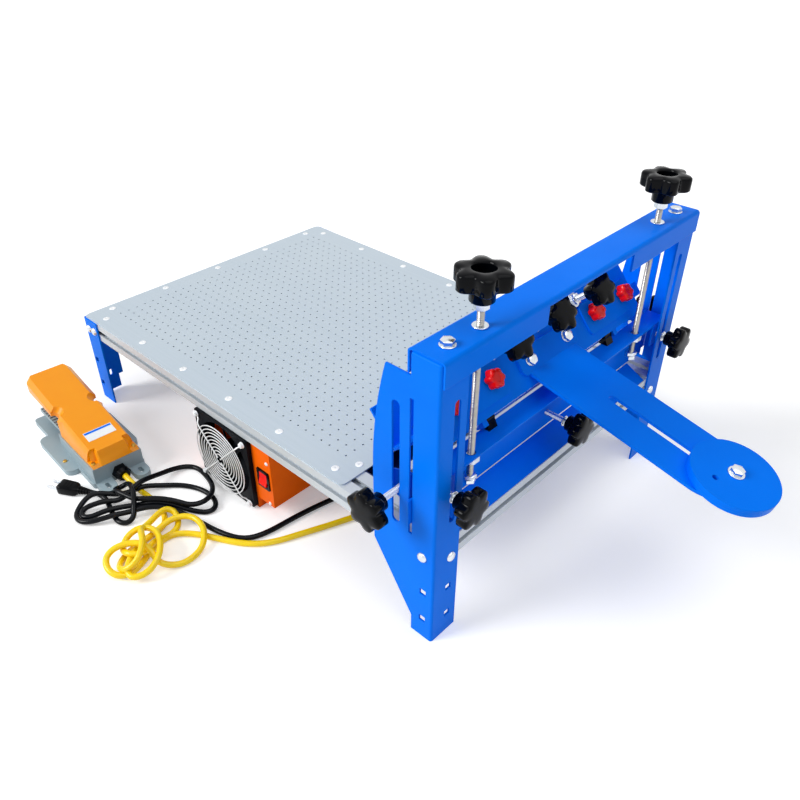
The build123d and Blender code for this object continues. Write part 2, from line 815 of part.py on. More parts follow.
# Channel that holds the screen frame under the clamp plate
with BuildPart() as clamp_channel:
    channel_plane = Plane(
        origin=hinge_plane.from_local_coords((clamp_channel_length / 2, 0, 0)),
        x_dir=-hinge_plane.y_dir,
        z_dir=(-1, 0, 0),
    )
    with BuildSketch(channel_plane):
        with BuildLine():
            channel_path = FilletPolyline(
                (
                    clamp_channel_back + clamp_channel_flange,
                    clamp_plate_level - clamp_channel_sheet / 2,
                ),
                (
                    clamp_channel_back + clamp_channel_sheet / 2,
                    clamp_plate_level - clamp_channel_sheet / 2,
                ),
                (clamp_channel_back + clamp_channel_sheet / 2, -clamp_channel_drop),
                (clamp_channel_back + clamp_channel_lip, -clamp_channel_drop),
                radius=bend_radius,
            )
            offset(
                channel_path,
                amount=clamp_channel_sheet / 2,
                side=Side.BOTH,
                kind=Kind.INTERSECTION,
            )
        make_face()
    extrude(amount=clamp_channel_length)
finish(clamp_channel, "clamp_channel")

# Registration plates with their small red knobs
plate_run = registration_plate_front - registration_plate_rear
plate_place = (registration_plate_front + registration_plate_rear) / 2
for side, name in ((1, "right"), (-1, "left")):
    with BuildPart() as registration_plate:
        with BuildSketch(hinge_plane.offset(clamp_top)):
            with Locations((side * registration_plate_x, -plate_place)):
                RectangleRounded(registration_plate_length, plate_run, registration_corner)
            with Locations((side * registration_plate_x, -registration_knob_place)):
                with GridLocations(registration_knob_spacing, 0, 2, 1):
                    SlotOverall(
                        registration_slot_length,
                        registration_slot_width,
                        rotation=90,
                        mode=Mode.SUBTRACT,
                    )
        extrude(amount=registration_plate_thickness)
    finish(registration_plate, f"registration_plate_{name}")
registration_top = clamp_top + registration_plate_thickness
for side, name in ((1, "right"), (-1, "left")):
    for end, place in ((1, "outer"), (-1, "inner")):
        with BuildPart() as registration_knob:
            knob_x = side * (registration_plate_x + end * registration_knob_spacing / 2)
            knob_plane = at(hinge_plane, knob_x, -registration_knob_place, registration_top)
            with BuildSketch(knob_plane.offset(-registration_plate_thickness)):
                Circle(registration_stud_diameter / 2)
            extrude(amount=registration_plate_thickness)
            with BuildSketch(knob_plane):
                Circle(registration_stud_diameter)
            extrude(amount=washer_thickness / 2)
            with BuildSketch(knob_plane.offset(washer_thickness / 2)):
                Circle(registration_knob_diameter / 2)
                with PolarLocations(
                    registration_knob_diameter / 2 + registration_scallop_offset, knob_lobes
                ):
                    Circle(registration_knob_diameter / 6, mode=Mode.SUBTRACT)
            extrude(amount=registration_knob_height, taper=registration_draft)
        finish(registration_knob, f"registration_knob_{name}_{place}")

# Star knobs that press the clamp plate's studs onto the screen frame
for number, x in ((1, clamp_knob_spacing), (2, 0), (3, -clamp_knob_spacing)):
    with BuildPart() as clamp_knob:
        knob_plane = at(hinge_plane, x, -clamp_knob_place, clamp_top)
        add(
            star_knob(
                knob_plane,
                clamp_knob_diameter,
                clamp_knob_stand,
                stud_radius,
                clamp_plate_thickness + clamp_stud_reach,
            )
        )
        with BuildSketch(knob_plane):
            Circle(washer_diameter / 2)
        extrude(amount=washer_thickness)
        with BuildSketch(knob_plane.offset(-clamp_plate_thickness - clamp_stud_reach)):
            Circle(clamp_foot_diameter / 2)
        extrude(amount=clamp_foot_thickness)
    finish(clamp_knob, f"clamp_knob_{number}")

# Counterweight arm: a flat plate with its root bent up onto the clamp plate
arm_root = at(hinge_plane, 0, -arm_bend_place, clamp_top)
arm_plane = Plane(
    origin=arm_root.origin,
    x_dir=(1, 0, 0),
    z_dir=(0, sin(radians(arm_slope)), cos(radians(arm_slope))),
)
with BuildPart() as counterweight_arm:
    with BuildSketch(arm_root):
        with Locations((0, (arm_bend_place - arm_tab_front) / 2)):
            Rectangle(arm_tab_width, arm_tab_front - arm_bend_place)
        fillet(vertices().group_by(Axis.Z)[-1], arm_tab_corner)
    extrude(amount=arm_thickness)
    with BuildSketch(arm_plane):
        arm_straight = arm_length - arm_width / 2
        with Locations((0, arm_straight / 2)):
            Rectangle(arm_width, arm_straight)
        with Locations((0, arm_straight)):
            Circle(arm_width / 2)
        with Locations((0, (arm_slot_start + arm_slot_end) / 2)):
            SlotOverall(
                arm_slot_end - arm_slot_start, arm_slot_width, rotation=90, mode=Mode.SUBTRACT
            )
    extrude(amount=arm_thickness)
finish(counterweight_arm, "counterweight_arm")

# Counterweight discs, bolted through the slot in the arm
discs_plane = at(arm_plane, 0, disc_place, arm_thickness)
with BuildPart() as counterweight_discs:
    for index in range(disc_count):
        with BuildSketch(discs_plane.offset(index * disc_thickness)):
            with Locations(((index - 1) * disc_step, 0)):
                Circle(disc_diameter / 2)
        extrude(amount=disc_thickness)
    with BuildSketch(discs_plane):
        with Locations((disc_diameter / 4, -disc_diameter / 8)):
            Circle(disc_hole_diameter / 2)
    extrude(amount=disc_count * disc_thickness, mode=Mode.SUBTRACT)
    with BuildSketch(discs_plane.offset(disc_count * disc_thickness)):
        RegularPolygon(disc_bolt_flats / 2, 6, major_radius=False)
    extrude(amount=disc_bolt_head)
    with BuildSketch(discs_plane.offset(-arm_thickness - disc_bolt_head)):
        Circle(disc_bolt_diameter / 2)
    extrude(amount=arm_thickness + disc_bolt_head)
    with BuildSketch(discs_plane.offset(-arm_thickness - disc_bolt_head)):
        RegularPolygon(disc_bolt_flats / 2, 6, major_radius=False)
    extrude(amount=disc_bolt_head)
finish(counterweight_discs, "counterweight_discs")

# Fan in the front of the control box, drawing air down from the tray
fan_front_x = rail_outer + fan_proud
fan_back_x = fan_front_x - fan_depth
fan_centre_z = fan_bottom + fan_size / 2
fan_plane = Plane(
    origin=(fan_back_x, fan_centre_y, fan_centre_z), x_dir=(0, 1, 0), z_dir=(1, 0, 0)
)
with BuildPart() as fan_housing:
    with BuildSketch(fan_plane):
        RectangleRounded(fan_size, fan_size, fan_corner_radius)
        Circle(fan_bore / 2, mode=Mode.SUBTRACT)
        with GridLocations(fan_hole_pitch, fan_hole_pitch, 2, 2):
            Circle(fan_hole_diameter / 2, mode=Mode.SUBTRACT)
    extrude(amount=fan_depth)
    # Motor plate at the back, held by four struts
    with BuildSketch(fan_plane):
        Circle(fan_hub_diameter / 2)
        with PolarLocations((fan_bore + fan_hub_diameter) / 4, 4, start_angle=fan_strut_turn):
            Rectangle((fan_bore - fan_hub_diameter) / 2 + fan_strut_width, fan_strut_width)
    extrude(amount=fan_strut_width / 2)
    with BuildSketch(fan_plane):
        Circle(fan_motor_diameter / 2)
    extrude(amount=fan_motor_depth)
finish(fan_housing, "fan_housing")

rotor_start = fan_strut_width / 2 + fan_hub_gap
rotor_front = fan_depth - fan_hub_gap
with BuildPart() as fan_rotor:
    with BuildSketch(fan_plane.offset(rotor_start)):
        Circle(fan_hub_diameter / 2)
    extrude(amount=rotor_front - rotor_start)
    with BuildSketch(fan_plane.offset(rotor_start)):
        Circle(fan_motor_diameter / 2 + hinge_bore_clearance)
    extrude(amount=fan_motor_depth - rotor_start + hinge_bore_clearance, mode=Mode.SUBTRACT)
    chamfer(fan_rotor.edges().group_by(Axis.X)[-1], fan_hub_chamfer)
    # Pitched blades
    blade_length = (fan_blade_diameter - fan_hub_diameter) / 2
    for index in range(fan_blade_count):
        blade_turn = 360 * index / fan_blade_count
        blade_hub = Plane(
            fan_plane.offset((rotor_start + rotor_front) / 2).location
            * Location((0, 0, 0), (0, 0, blade_turn))
            * Location((fan_hub_diameter / 2 - fan_blade_root, 0, 0), (0, 90, 0))
        )
        with BuildSketch(blade_hub):
            with Locations(Location((0, 0), blade_pitch)):
                SlotOverall(fan_blade_chord, fan_blade_thickness)
        extrude(amount=blade_length + fan_blade_root)
finish(fan_rotor, "fan_rotor")

# Wire guard: rings on four bent spokes that run to the fan's corners
with BuildPart() as fan_guard:
    guard_plane = fan_plane.offset(fan_depth + guard_wire / 2)
    ring_level = guard_plane.offset(guard_bulge)
    for index in range(guard_rings):
        with BuildSketch(ring_level):
            Circle(guard_inner_radius + index * guard_ring_pitch + guard_wire / 2)
            Circle(
                guard_inner_radius + index * guard_ring_pitch - guard_wire / 2,
                mode=Mode.SUBTRACT,
            )
        extrude(amount=guard_wire / 2, both=True)
    corner_reach = fan_hole_pitch / 2 * 2**0.5
    ring_reach = guard_inner_radius + (guard_rings - 1) * guard_ring_pitch + guard_wire
    for index in range(4):
        spoke_plane = Plane(
            guard_plane.location * Location((0, 0, 0), (0, 0, 45 + 90 * index))
        )
        side_plane = Plane(
            origin=spoke_plane.origin,
            x_dir=spoke_plane.x_dir,
            z_dir=spoke_plane.y_dir,
        )
        with BuildSketch(side_plane.offset(-guard_wire / 2)):
            with BuildLine():
                spoke_path = Polyline(
                    (guard_inner_radius - guard_wire, -guard_bulge - guard_wire),
                    (ring_reach - guard_spoke_bend, -guard_bulge - guard_wire),
                    (corner_reach - guard_eye_run, 0),
                    (corner_reach, 0),
                )
                offset(spoke_path, amount=guard_wire / 2, side=Side.BOTH, kind=Kind.INTERSECTION)
            make_face()
        extrude(amount=guard_wire)
        with BuildSketch(guard_plane.offset(-guard_wire / 2)):
            with PolarLocations(corner_reach, 1, start_angle=45 + 90 * index):
                Circle(guard_eye_diameter / 2)
        extrude(amount=guard_wire)
finish(fan_guard, "fan_guard")

# Control box: a folded shell under the table, deeper where the fan stands in its front
box_start_y = fan_centre_y - fan_size / 2 - box_margin
box_step_y = fan_centre_y + fan_size / 2 + box_sheet + fan_pocket_gap
with BuildPart() as control_box:
    for inset, start, end in ((0, box_back, box_front), (box_sheet, box_back + box_sheet, None)):
        with BuildSketch(Plane.YZ.offset(start)):
            with BuildLine():
                Polyline(
                    (box_start_y + inset, box_floor + inset),
                    (box_step_y - inset, box_floor + inset),
                    (box_step_y - inset, box_bottom + inset),
                    (box_rear_y - inset, box_bottom + inset),
                    (box_rear_y - inset, rail_bottom),
                    (box_start_y + inset, rail_bottom),
                    close=True,
                )
            make_face()
        if end:
            extrude(amount=end - start)
        else:
            extrude(amount=box_depth - 2 * box_sheet, mode=Mode.SUBTRACT)
    # Flanges that screw to the tray, and the plate behind the fan
    with BuildSketch(Plane.XY.offset(rail_bottom - box_sheet)):
        with Locations((box_back + box_flange / 2, (box_start_y + box_rear_y) / 2)):
            Rectangle(box_flange, box_rear_y - box_start_y)
        with Locations((box_middle_x, box_rear_y - box_flange / 2)):
            Rectangle(box_depth, box_flange)
    extrude(amount=box_sheet)
    with BuildSketch(Plane.YZ.offset(fan_back_x - box_sheet)):
        with Locations(((box_start_y + box_step_y) / 2, (box_floor + rail_bottom) / 2)):
            Rectangle(box_step_y - box_start_y, rail_bottom - box_floor)
        with Locations((fan_centre_y, fan_centre_z)):
            Circle(fan_bore / 2, mode=Mode.SUBTRACT)
    extrude(amount=box_sheet)
    with BuildSketch(Plane.YZ.offset(fan_back_x)):
        with Locations((fan_centre_y, (fan_bottom - fan_pocket_gap + rail_bottom) / 2)):
            Rectangle(
                fan_size + 2 * fan_pocket_gap, rail_bottom - fan_bottom + fan_pocket_gap
            )
    extrude(amount=fan_depth, mode=Mode.SUBTRACT)
    switch_centre_y = box_rear_y - switch_inset
    with BuildSketch(Plane.YZ.offset(box_front - box_sheet)):
        with Locations((switch_centre_y, switch_centre_z)):
            Rectangle(
                switch_width - 2 * switch_rim + 2 * fit_gap,
                switch_height - 2 * switch_rim + 2 * fit_gap,
            )
    extrude(amount=box_sheet, mode=Mode.SUBTRACT)
finish(control_box, "control_box")

# Mains switch: a bezel in the box front with a rocker on a cross pin
switch_plane = Plane(
    origin=(box_front, switch_centre_y, switch_centre_z), x_dir=(0, 1, 0), z_dir=(1, 0, 0)
)
body_width = switch_width - 2 * switch_rim
body_height = switch_height - 2 * switch_rim
cavity_width = body_width - 2 * switch_bezel_wall
cavity_height = body_height - 2 * switch_bezel_wall
pivot_plane = Plane(
    origin=switch_plane.from_local_coords((0, 0, -rocker_pivot_depth)),
    x_dir=(1, 0, 0),
    z_dir=(0, 1, 0),
)
with BuildPart() as switch_bezel:
    with BuildSketch(switch_plane):
        RectangleRounded(switch_width, switch_height, switch_rim)
    extrude(amount=switch_rim)
    with BuildSketch(switch_plane):
        Rectangle(body_width, body_height)
    extrude(amount=-switch_depth)
    with BuildSketch(switch_plane.offset(switch_rim)):
        Rectangle(cavity_width, cavity_height)
    extrude(amount=-switch_depth, mode=Mode.SUBTRACT)
    with BuildSketch(pivot_plane):
        Circle(rocker_pin_diameter / 2 + hinge_bore_clearance)
    extrude(amount=rocker_pin_half, both=True, mode=Mode.SUBTRACT)
finish(switch_bezel, "switch_bezel")
rocker_half = cavity_width / 2 - rocker_gap
rocker_end = cavity_height / 2 - rocker_proud / 2
rocker_plane = Plane(
    origin=pivot_plane.origin,
    x_dir=(cos(radians(rocker_tilt)), 0, sin(radians(rocker_tilt))),
    z_dir=(0, 1, 0),
)
with BuildPart() as power_rocker:
    with BuildSketch(rocker_plane):
        with BuildLine():
            Polyline(
                (-rocker_proud, rocker_end / 2),
                (rocker_proud, rocker_end),
                (rocker_pivot_depth + rocker_proud, rocker_end),
                (rocker_pivot_depth + rocker_proud / 2, 0),
                (rocker_pivot_depth + rocker_proud, -rocker_end),
                (rocker_proud, -rocker_end),
                (-rocker_proud, -rocker_end / 2),
                close=True,
            )
        make_face()
    extrude(amount=rocker_half, both=True)
    with BuildSketch(rocker_plane):
        Circle(rocker_pin_diameter / 2)
    extrude(amount=rocker_pin_half - fit_gap, both=True)
finish(power_rocker, "power_rocker")


def gland(plane, flats, length):
    """Hexagonal cable gland on a face, with a round cap."""
    with BuildPart() as piece:
        with BuildSketch(plane):
            RegularPolygon(flats / 2, 6, major_radius=False)
        extrude(amount=length * gland_hex_share)
        with BuildSketch(plane.offset(length * gland_hex_share)):
            Circle(flats / 2)
        extrude(amount=length * (1 - gland_hex_share), taper=gland_cap_draft)
    return piece.part


with BuildPart() as mains_gland:
    mains_gland_plane = Plane(
        origin=(box_back, mains_gland_y, box_gland_height), x_dir=(0, 1, 0), z_dir=(-1, 0, 0)
    )
    add(gland(mains_gland_plane, box_gland_flats, gland_length))
finish(mains_gland, "mains_gland")
with BuildPart() as foot_cord_gland:
    foot_gland_plane = Plane(
        origin=(foot_gland_x, box_rear_y, box_gland_height), x_dir=(-1, 0, 0), z_dir=(0, 1, 0)
    )
    add(gland(foot_gland_plane, box_gland_flats, gland_length))
finish(foot_cord_gland, "foot_cord_gland")

# Foot switch. Its local Y runs from the toe to the heel, where its cord comes out.
pedal_plane = Plane(
    origin=(pedal_x, pedal_y, 0),
    x_dir=(cos(radians(pedal_turn)), sin(radians(pedal_turn)), 0),
    z_dir=(0, 0, 1),
)
pedal_side = Plane(
    origin=pedal_plane.origin, x_dir=pedal_plane.y_dir, z_dir=pedal_plane.x_dir
)
with BuildPart() as pedal_base:
    with BuildSketch(pedal_plane):
        with Locations((0, (pedal_heel - pedal_toe) / 2)):
            RectangleRounded(2 * pedal_plate_half, pedal_heel + pedal_toe, pedal_plate_corner)
        RectangleRounded(2 * pedal_flange_half, 2 * pedal_flange_reach, pedal_flange_corner)
        for side in (1, -1):
            with Locations((side * pedal_ear_x, pedal_heel)):
                SlotOverall(2 * pedal_ear_reach, pedal_ear_width, rotation=90)
            with Locations((side * pedal_ear_x, pedal_heel + pedal_ear_reach / 2)):
                SlotOverall(
                    pedal_ear_reach / 2, pedal_slot_width, rotation=90, mode=Mode.SUBTRACT
                )
    extrude(amount=pedal_plate_height)
    with BuildSketch(pedal_plane.offset(pedal_plate_height)):
        with Locations((0, (pedal_heel + pedal_body_front) / 2)):
            Rectangle(2 * pedal_body_half, pedal_heel - pedal_body_front)
    extrude(amount=pedal_body_height - pedal_plate_height)
    with BuildSketch(pedal_plane.offset(pedal_body_height)):
        with Locations((0, (pedal_heel + pedal_body_front) / 2)):
            Rectangle(
                2 * (pedal_body_half - pedal_wall),
                pedal_heel - pedal_body_front - 2 * pedal_wall,
            )
    extrude(amount=pedal_plate_height - pedal_body_height, mode=Mode.SUBTRACT)
    # Lugs that carry the treadle's pin
    treadle_lug_top = treadle_pin_height + treadle_lug_above
    for side in (1, -1):
        lug_start = side * (treadle_half + treadle_side_gap + treadle_lug / 2) - treadle_lug / 2
        with BuildSketch(pedal_side.offset(lug_start)):
            with BuildLine():
                Polyline(
                    (treadle_pin_y - treadle_lug_foot, pedal_plate_height),
                    (treadle_pin_y - treadle_lug_half, treadle_lug_top),
                    (treadle_pin_y + treadle_lug_half, treadle_lug_top),
                    (treadle_pin_y + treadle_lug_foot, pedal_plate_height),
                    close=True,
                )
            make_face()
            with Locations((treadle_pin_y, treadle_pin_height)):
                Circle(treadle_pin_diameter / 2 + hinge_bore_clearance, mode=Mode.SUBTRACT)
        extrude(amount=treadle_lug)
finish(pedal_base, "pedal_base")

cover_slope = (pedal_hood_top - pedal_cover_height) / (
    pedal_heel - pedal_heel_bevel + pedal_toe
)
hood_floor = pedal_hood_top - pedal_hood_skirt
hood_back = pedal_body_front - 2 * pedal_notch_radius
with BuildPart() as pedal_cover:
    with BuildSketch(pedal_side):
        with BuildLine():
            Polyline(
                (pedal_body_front, pedal_body_height),
                (pedal_heel, pedal_body_height),
                (pedal_heel - pedal_heel_bevel, pedal_cover_height),
                (-pedal_toe, pedal_hood_top),
                (-pedal_toe, hood_floor),
                (hood_back, hood_floor - pedal_wall),
                close=True,
            )
        make_face()
    extrude(amount=pedal_hood_half, both=True)
    hood_edges = pedal_cover.edges().filter_by(GeomType.LINE)
    top_edges = [
        edge
        for edge in hood_edges
        if edge.length > pedal_heel and edge.center().Z > pedal_cover_height
    ]
    fillet(top_edges, pedal_top_radius)
    # Hollow under the hood, open to the toe, and hollow over the switch body
    with BuildSketch(pedal_side):
        with BuildLine():
            hood_top_back = pedal_hood_top - cover_slope * (hood_back + pedal_toe) - pedal_wall
            Polyline(
                (-pedal_toe, hood_floor - pedal_wall),
                (-pedal_toe, pedal_hood_top - pedal_wall),
                (hood_back, hood_top_back),
                (hood_back, hood_floor - 2 * pedal_wall),
                close=True,
            )
        make_face()
        with BuildLine():
            Polyline(
                (pedal_body_front + pedal_wall, pedal_body_height),
                (pedal_body_front + pedal_wall, pedal_cover_height - pedal_wall),
                (pedal_heel - pedal_heel_bevel - pedal_wall, pedal_cover_height - pedal_wall),
                (pedal_heel - pedal_wall, pedal_body_height),
                close=True,
            )
        make_face()
    extrude(amount=pedal_hood_half - pedal_wall, both=True, mode=Mode.SUBTRACT)
    # Round notches at the waist
    with BuildSketch(pedal_plane.offset(pedal_body_height)):
        with Locations((pedal_hood_half, hood_back / 2), (-pedal_hood_half, hood_back / 2)):
            Circle(pedal_notch_radius)
    extrude(amount=pedal_hood_top, mode=Mode.SUBTRACT)
finish(pedal_cover, "pedal_cover")

treadle_front = treadle_pin_y - treadle_length
treadle_base = treadle_pin_height + treadle_pin_diameter - treadle_thickness
with BuildPart() as pedal_treadle:
    with BuildSketch(pedal_plane.offset(treadle_base)):
        with Locations((0, (treadle_pin_y + treadle_front) / 2)):
            Rectangle(2 * treadle_half, treadle_length)
    extrude(amount=treadle_thickness)
    with BuildSketch(pedal_plane.offset(treadle_base + treadle_thickness)):
        with Locations((0, (treadle_pin_y + treadle_front) / 2)):
            with GridLocations(0, treadle_length / treadle_rib_count, 1, treadle_rib_count):
                Rectangle(2 * treadle_half, treadle_rib_height)
    extrude(amount=treadle_rib_height)
    with BuildSketch(pedal_side):
        with Locations((treadle_pin_y, treadle_pin_height)):
            Circle(treadle_pin_diameter)
    extrude(amount=treadle_half, both=True)
    with BuildSketch(pedal_side):
        with Locations((treadle_pin_y, treadle_pin_height)):
            Circle(treadle_pin_diameter / 2)
    extrude(amount=treadle_half + treadle_side_gap + treadle_lug, both=True)
finish(pedal_treadle, "pedal_treadle")

pedal_heel_plane = Plane(
    origin=pedal_plane.from_local_coords((0, pedal_heel, gland_height)),
    x_dir=-pedal_plane.x_dir,
    z_dir=pedal_plane.y_dir,
)
with BuildPart() as pedal_gland:
    add(gland(pedal_heel_plane, gland_flats, gland_length))
finish(pedal_gland, "pedal_gland")

# Cords. Each run is a chain of straight stretches joined by tangent arcs.
cord_z = cord_diameter / 2 + cord_rest
cord_radius = cord_diameter / 2


def cord_radii(points):
    """Arc radius at each inner point, from the shorter stretch beside it."""
    radii = []
    for before, here, after in zip(points, points[1:], points[2:]):
        arrive = Vector(*here) - Vector(*before)
        leave = Vector(*after) - Vector(*here)
        half_turn = radians(arrive.get_angle(leave)) / 2
        radii.append(cord_arc_share * min(arrive.length, leave.length) / tan(half_turn))
    return radii


def beside(points):
    """Points whose X is measured outwards from the edge of the table."""
    return [(half_width + x, *rest) for x, *rest in points]


def cord_run(name, points):
    """A round cord along the points; returns its length."""
    radii = cord_radii(points)
    with BuildPart() as run:
        with BuildLine() as route:
            FilletPolyline(*points, radius=radii)
        start = Vector(*points[0])
        start_dir = Vector(*points[1]) - start
        with BuildSketch(Plane(origin=start, z_dir=start_dir)):
            Circle(cord_radius)
        sweep(path=route.wires()[0])
    finish(run, name)
    length = route.wires()[0].length
    share = run.part.volume / (pi * cord_radius**2 * length)
    print(name, "length", round(length), "radii", [round(r) for r in radii], "share", round(share, 4))
    return length


def cord_end(points, depth):
    """Short stub that carries a cord on into a coil or knot, past its last point."""
    last = Vector(*points[-1])
    direction = (last - Vector(*points[-2])).normalized()
    with BuildPart() as stub:
        with BuildSketch(Plane(origin=last, z_dir=direction)):
            Circle(cord_radius)
        extrude(amount=depth)
    return stub.part


mains_route = [
    (box_back - gland_length, mains_gland_y, box_gland_height),
    *beside([
        (-196, mains_gland_y, box_gland_height),
        (-215, 134, 22),
        (-220, 158, 7),
        (-205, 182, cord_z),
        (-176, 196, cord_z),
        (-130, 196, cord_z),
        (-80, 182.5, cord_z),
        (-28, 172, cord_z),
        (26, 164, cord_z),
        (49, 148, cord_z),
        (63, 112, cord_z),
        (70, 69, cord_z),
    ]),
]
foot_route = [
    (foot_gland_x, box_rear_y + gland_length, box_gland_height),
    (foot_gland_x, 200, box_gland_height),
    *beside([
        (-138, 224, 24),
        (-118, 241, 8),
        (-90, 237, cord_z),
        (-50, 222, cord_z),
        (-9, 203, cord_z),
        (31, 181, cord_z),
        (54, 158, cord_z),
        (73, 127, cord_z),
        (88, 100, cord_z),
        (107, 80, cord_z),
        (125, 76.5, cord_z),
    ]),
]
gland_end = pedal_heel_plane.from_local_coords((0, 0, gland_length))
gland_ahead = pedal_heel_plane.from_local_coords((0, 0, gland_length + gland_run))
lead_route = [
    (gland_end.X, gland_end.Y, gland_end.Z),
    (gland_ahead.X, gland_ahead.Y, gland_ahead.Z),
    *beside([
        (96, -30, cord_z),
        (94.5, -8, cord_z),
        (95.5, 14, cord_z),
        (100, 38, cord_z),
        (111.7, 54.3, cord_z),
        (127.5, 58.6, cord_z),
    ]),
]
cord_run("mains_cord_run", mains_route)
cord_run("foot_cord_run", foot_route)
cord_run("foot_cord_lead", lead_route)

# Mains cord folded into a flat hank and tied round its waist
hank_outline = beside([
    (180, -57),
    (174, -65),
    (162, -70),
    (152, -70),
    (141, -74),
    (139, -55),
    (122, -48),
    (102, -34),
    (65, -34),
    (32, -35),
    (20, -29),
    (14, -9),
    (17, 25),
    (25, 49),
    (31, 67),
    (45, 79),
    (62, 76),
    (70, 63),
    (81, 46),
    (99, 27),
    (130, 18),
    (152, 2),
    (169, -21),
    (178, -40),
])
hank_openings = [
    beside([(58, -19), (40, -25), (29, -18), (23, -1), (26, 20), (31, 32), (37, 16), (50, -5)]),
    beside([(86, -12), (64, -1), (47, 16), (39, 40), (44, 52), (56, 49), (71, 33), (83, 10)]),
    beside([(165, -48), (144, -48), (126, -34), (135, -18), (153, -24)]),
]
plug_plane = Plane(origin=(half_width + plug_x, plug_y, plug_level), x_dir=(0, 0, 1), z_dir=(24, -45, 0))
with BuildPart() as mains_cord_hank:
    with BuildSketch(Plane.XY.offset(cord_rest)):
        with BuildLine():
            Polyline(*hank_outline, close=True)
        make_face()
        for opening in hank_openings:
            with BuildLine():
                Polyline(*opening, close=True)
            make_face(mode=Mode.SUBTRACT)
        fillet(vertices(), hank_fillet)
    extrude(amount=hank_height)
    chamfer(mains_cord_hank.faces().sort_by(Axis.Z)[-1].outer_wire().edges(), hank_chamfer)
    # Band round the waist
    with BuildSketch(Plane.XY.offset(cord_rest)):
        band_x, band_y, band_length, band_turn = hank_band
        with Locations(Location((half_width + band_x, band_y), band_turn)):
            RectangleRounded(band_length, 2 * cord_diameter, cord_radius)
    extrude(amount=hank_height + cord_radius)
    # Room for the foot switch's cord, which passes underneath
    with BuildSketch(Plane.XZ.offset(-tunnel_start)):
        with Locations((half_width + tunnel_x, 0)):
            Rectangle(
                cord_diameter + 2 * tunnel_gap, 2 * (cord_diameter + tunnel_gap / 2)
            )
    extrude(amount=-tunnel_length, mode=Mode.SUBTRACT)
    add(cord_end(mains_route, hank_stub))
    with BuildSketch(plug_plane):
        Circle(cord_radius)
    extrude(amount=-hank_tail)
finish(mains_cord_hank, "mains_cord_hank")

# Plug on the free end of the mains cord
with BuildPart() as mains_plug:
    with BuildSketch(plug_plane):
        Circle(cord_radius)
    extrude(amount=plug_relief, taper=-plug_relief_flare)
    with BuildSketch(plug_plane.offset(plug_relief)):
        RectangleRounded(2 * (plug_level - plug_floor_gap), plug_width, plug_corner)
    extrude(amount=plug_length)
    with BuildSketch(plug_plane.offset(plug_relief + plug_length)):
        with GridLocations(0, plug_pin_pitch, 1, 2):
            Circle(plug_pin_diameter / 2)
    extrude(amount=plug_pin_length)
finish(mains_plug, "mains_plug")

# Foot switch's cord knotted into a bundle, with two loops that stand out of it
knot_outline = beside([
    (202, 64),
    (194, 53),
    (180, 47),
    (166, 50),
    (154, 42),
    (139, 42),
    (131, 52),
    (129, 76),
    (137, 94),
    (154, 110),
    (171, 121),
    (183, 124),
    (196, 118),
    (206, 106),
    (209, 88),
])
small_loop = beside([
    (142, 50, 12),
    (126, 50, cord_z + 7.5),
    (112, 43, cord_z + 7.8),
    (98, 40, cord_z + 7.8),
    (90, 48, cord_z + 7.8),
    (92, 59, cord_z + 7.8),
])
large_loop = beside([
    (142, 64, 12),
    (122, 63, cord_z + 7.8),
    (100, 62, cord_z + 7.8),
    (86, 70, cord_z + 7.8),
    (81, 86, cord_z + 7.8),
    (85, 106, cord_z + 7.6),
    (102, 123, cord_z + 2.0),
    (126, 129, cord_z),
    (148, 122, cord_z),
    (164, 110, cord_z),
])
with BuildPart() as foot_cord_bundle:
    with BuildSketch(Plane.XY.offset(cord_rest)):
        with BuildLine():
            Polyline(*knot_outline, close=True)
        make_face()
        fillet(vertices(), knot_fillet)
    extrude(amount=knot_height)
    fillet(foot_cord_bundle.faces().sort_by(Axis.Z)[-1].outer_wire().edges(), knot_round)
    for loop in (small_loop, large_loop):
        with BuildLine() as loop_line:
            Spline(*loop)
        with BuildSketch(
            Plane(origin=loop_line.wires()[0] @ 0, z_dir=loop_line.wires()[0] % 0)
        ):
            Circle(cord_radius)
        sweep(path=loop_line.wires()[0])
    add(cord_end(foot_route, knot_stub))
    add(cord_end(lead_route, knot_stub))
finish(foot_cord_bundle, "foot_cord_bundle")
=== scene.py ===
import json
from math import atan, cos, pi, radians, sin, tau

import bmesh
import bpy
from mathutils import Matrix, Vector


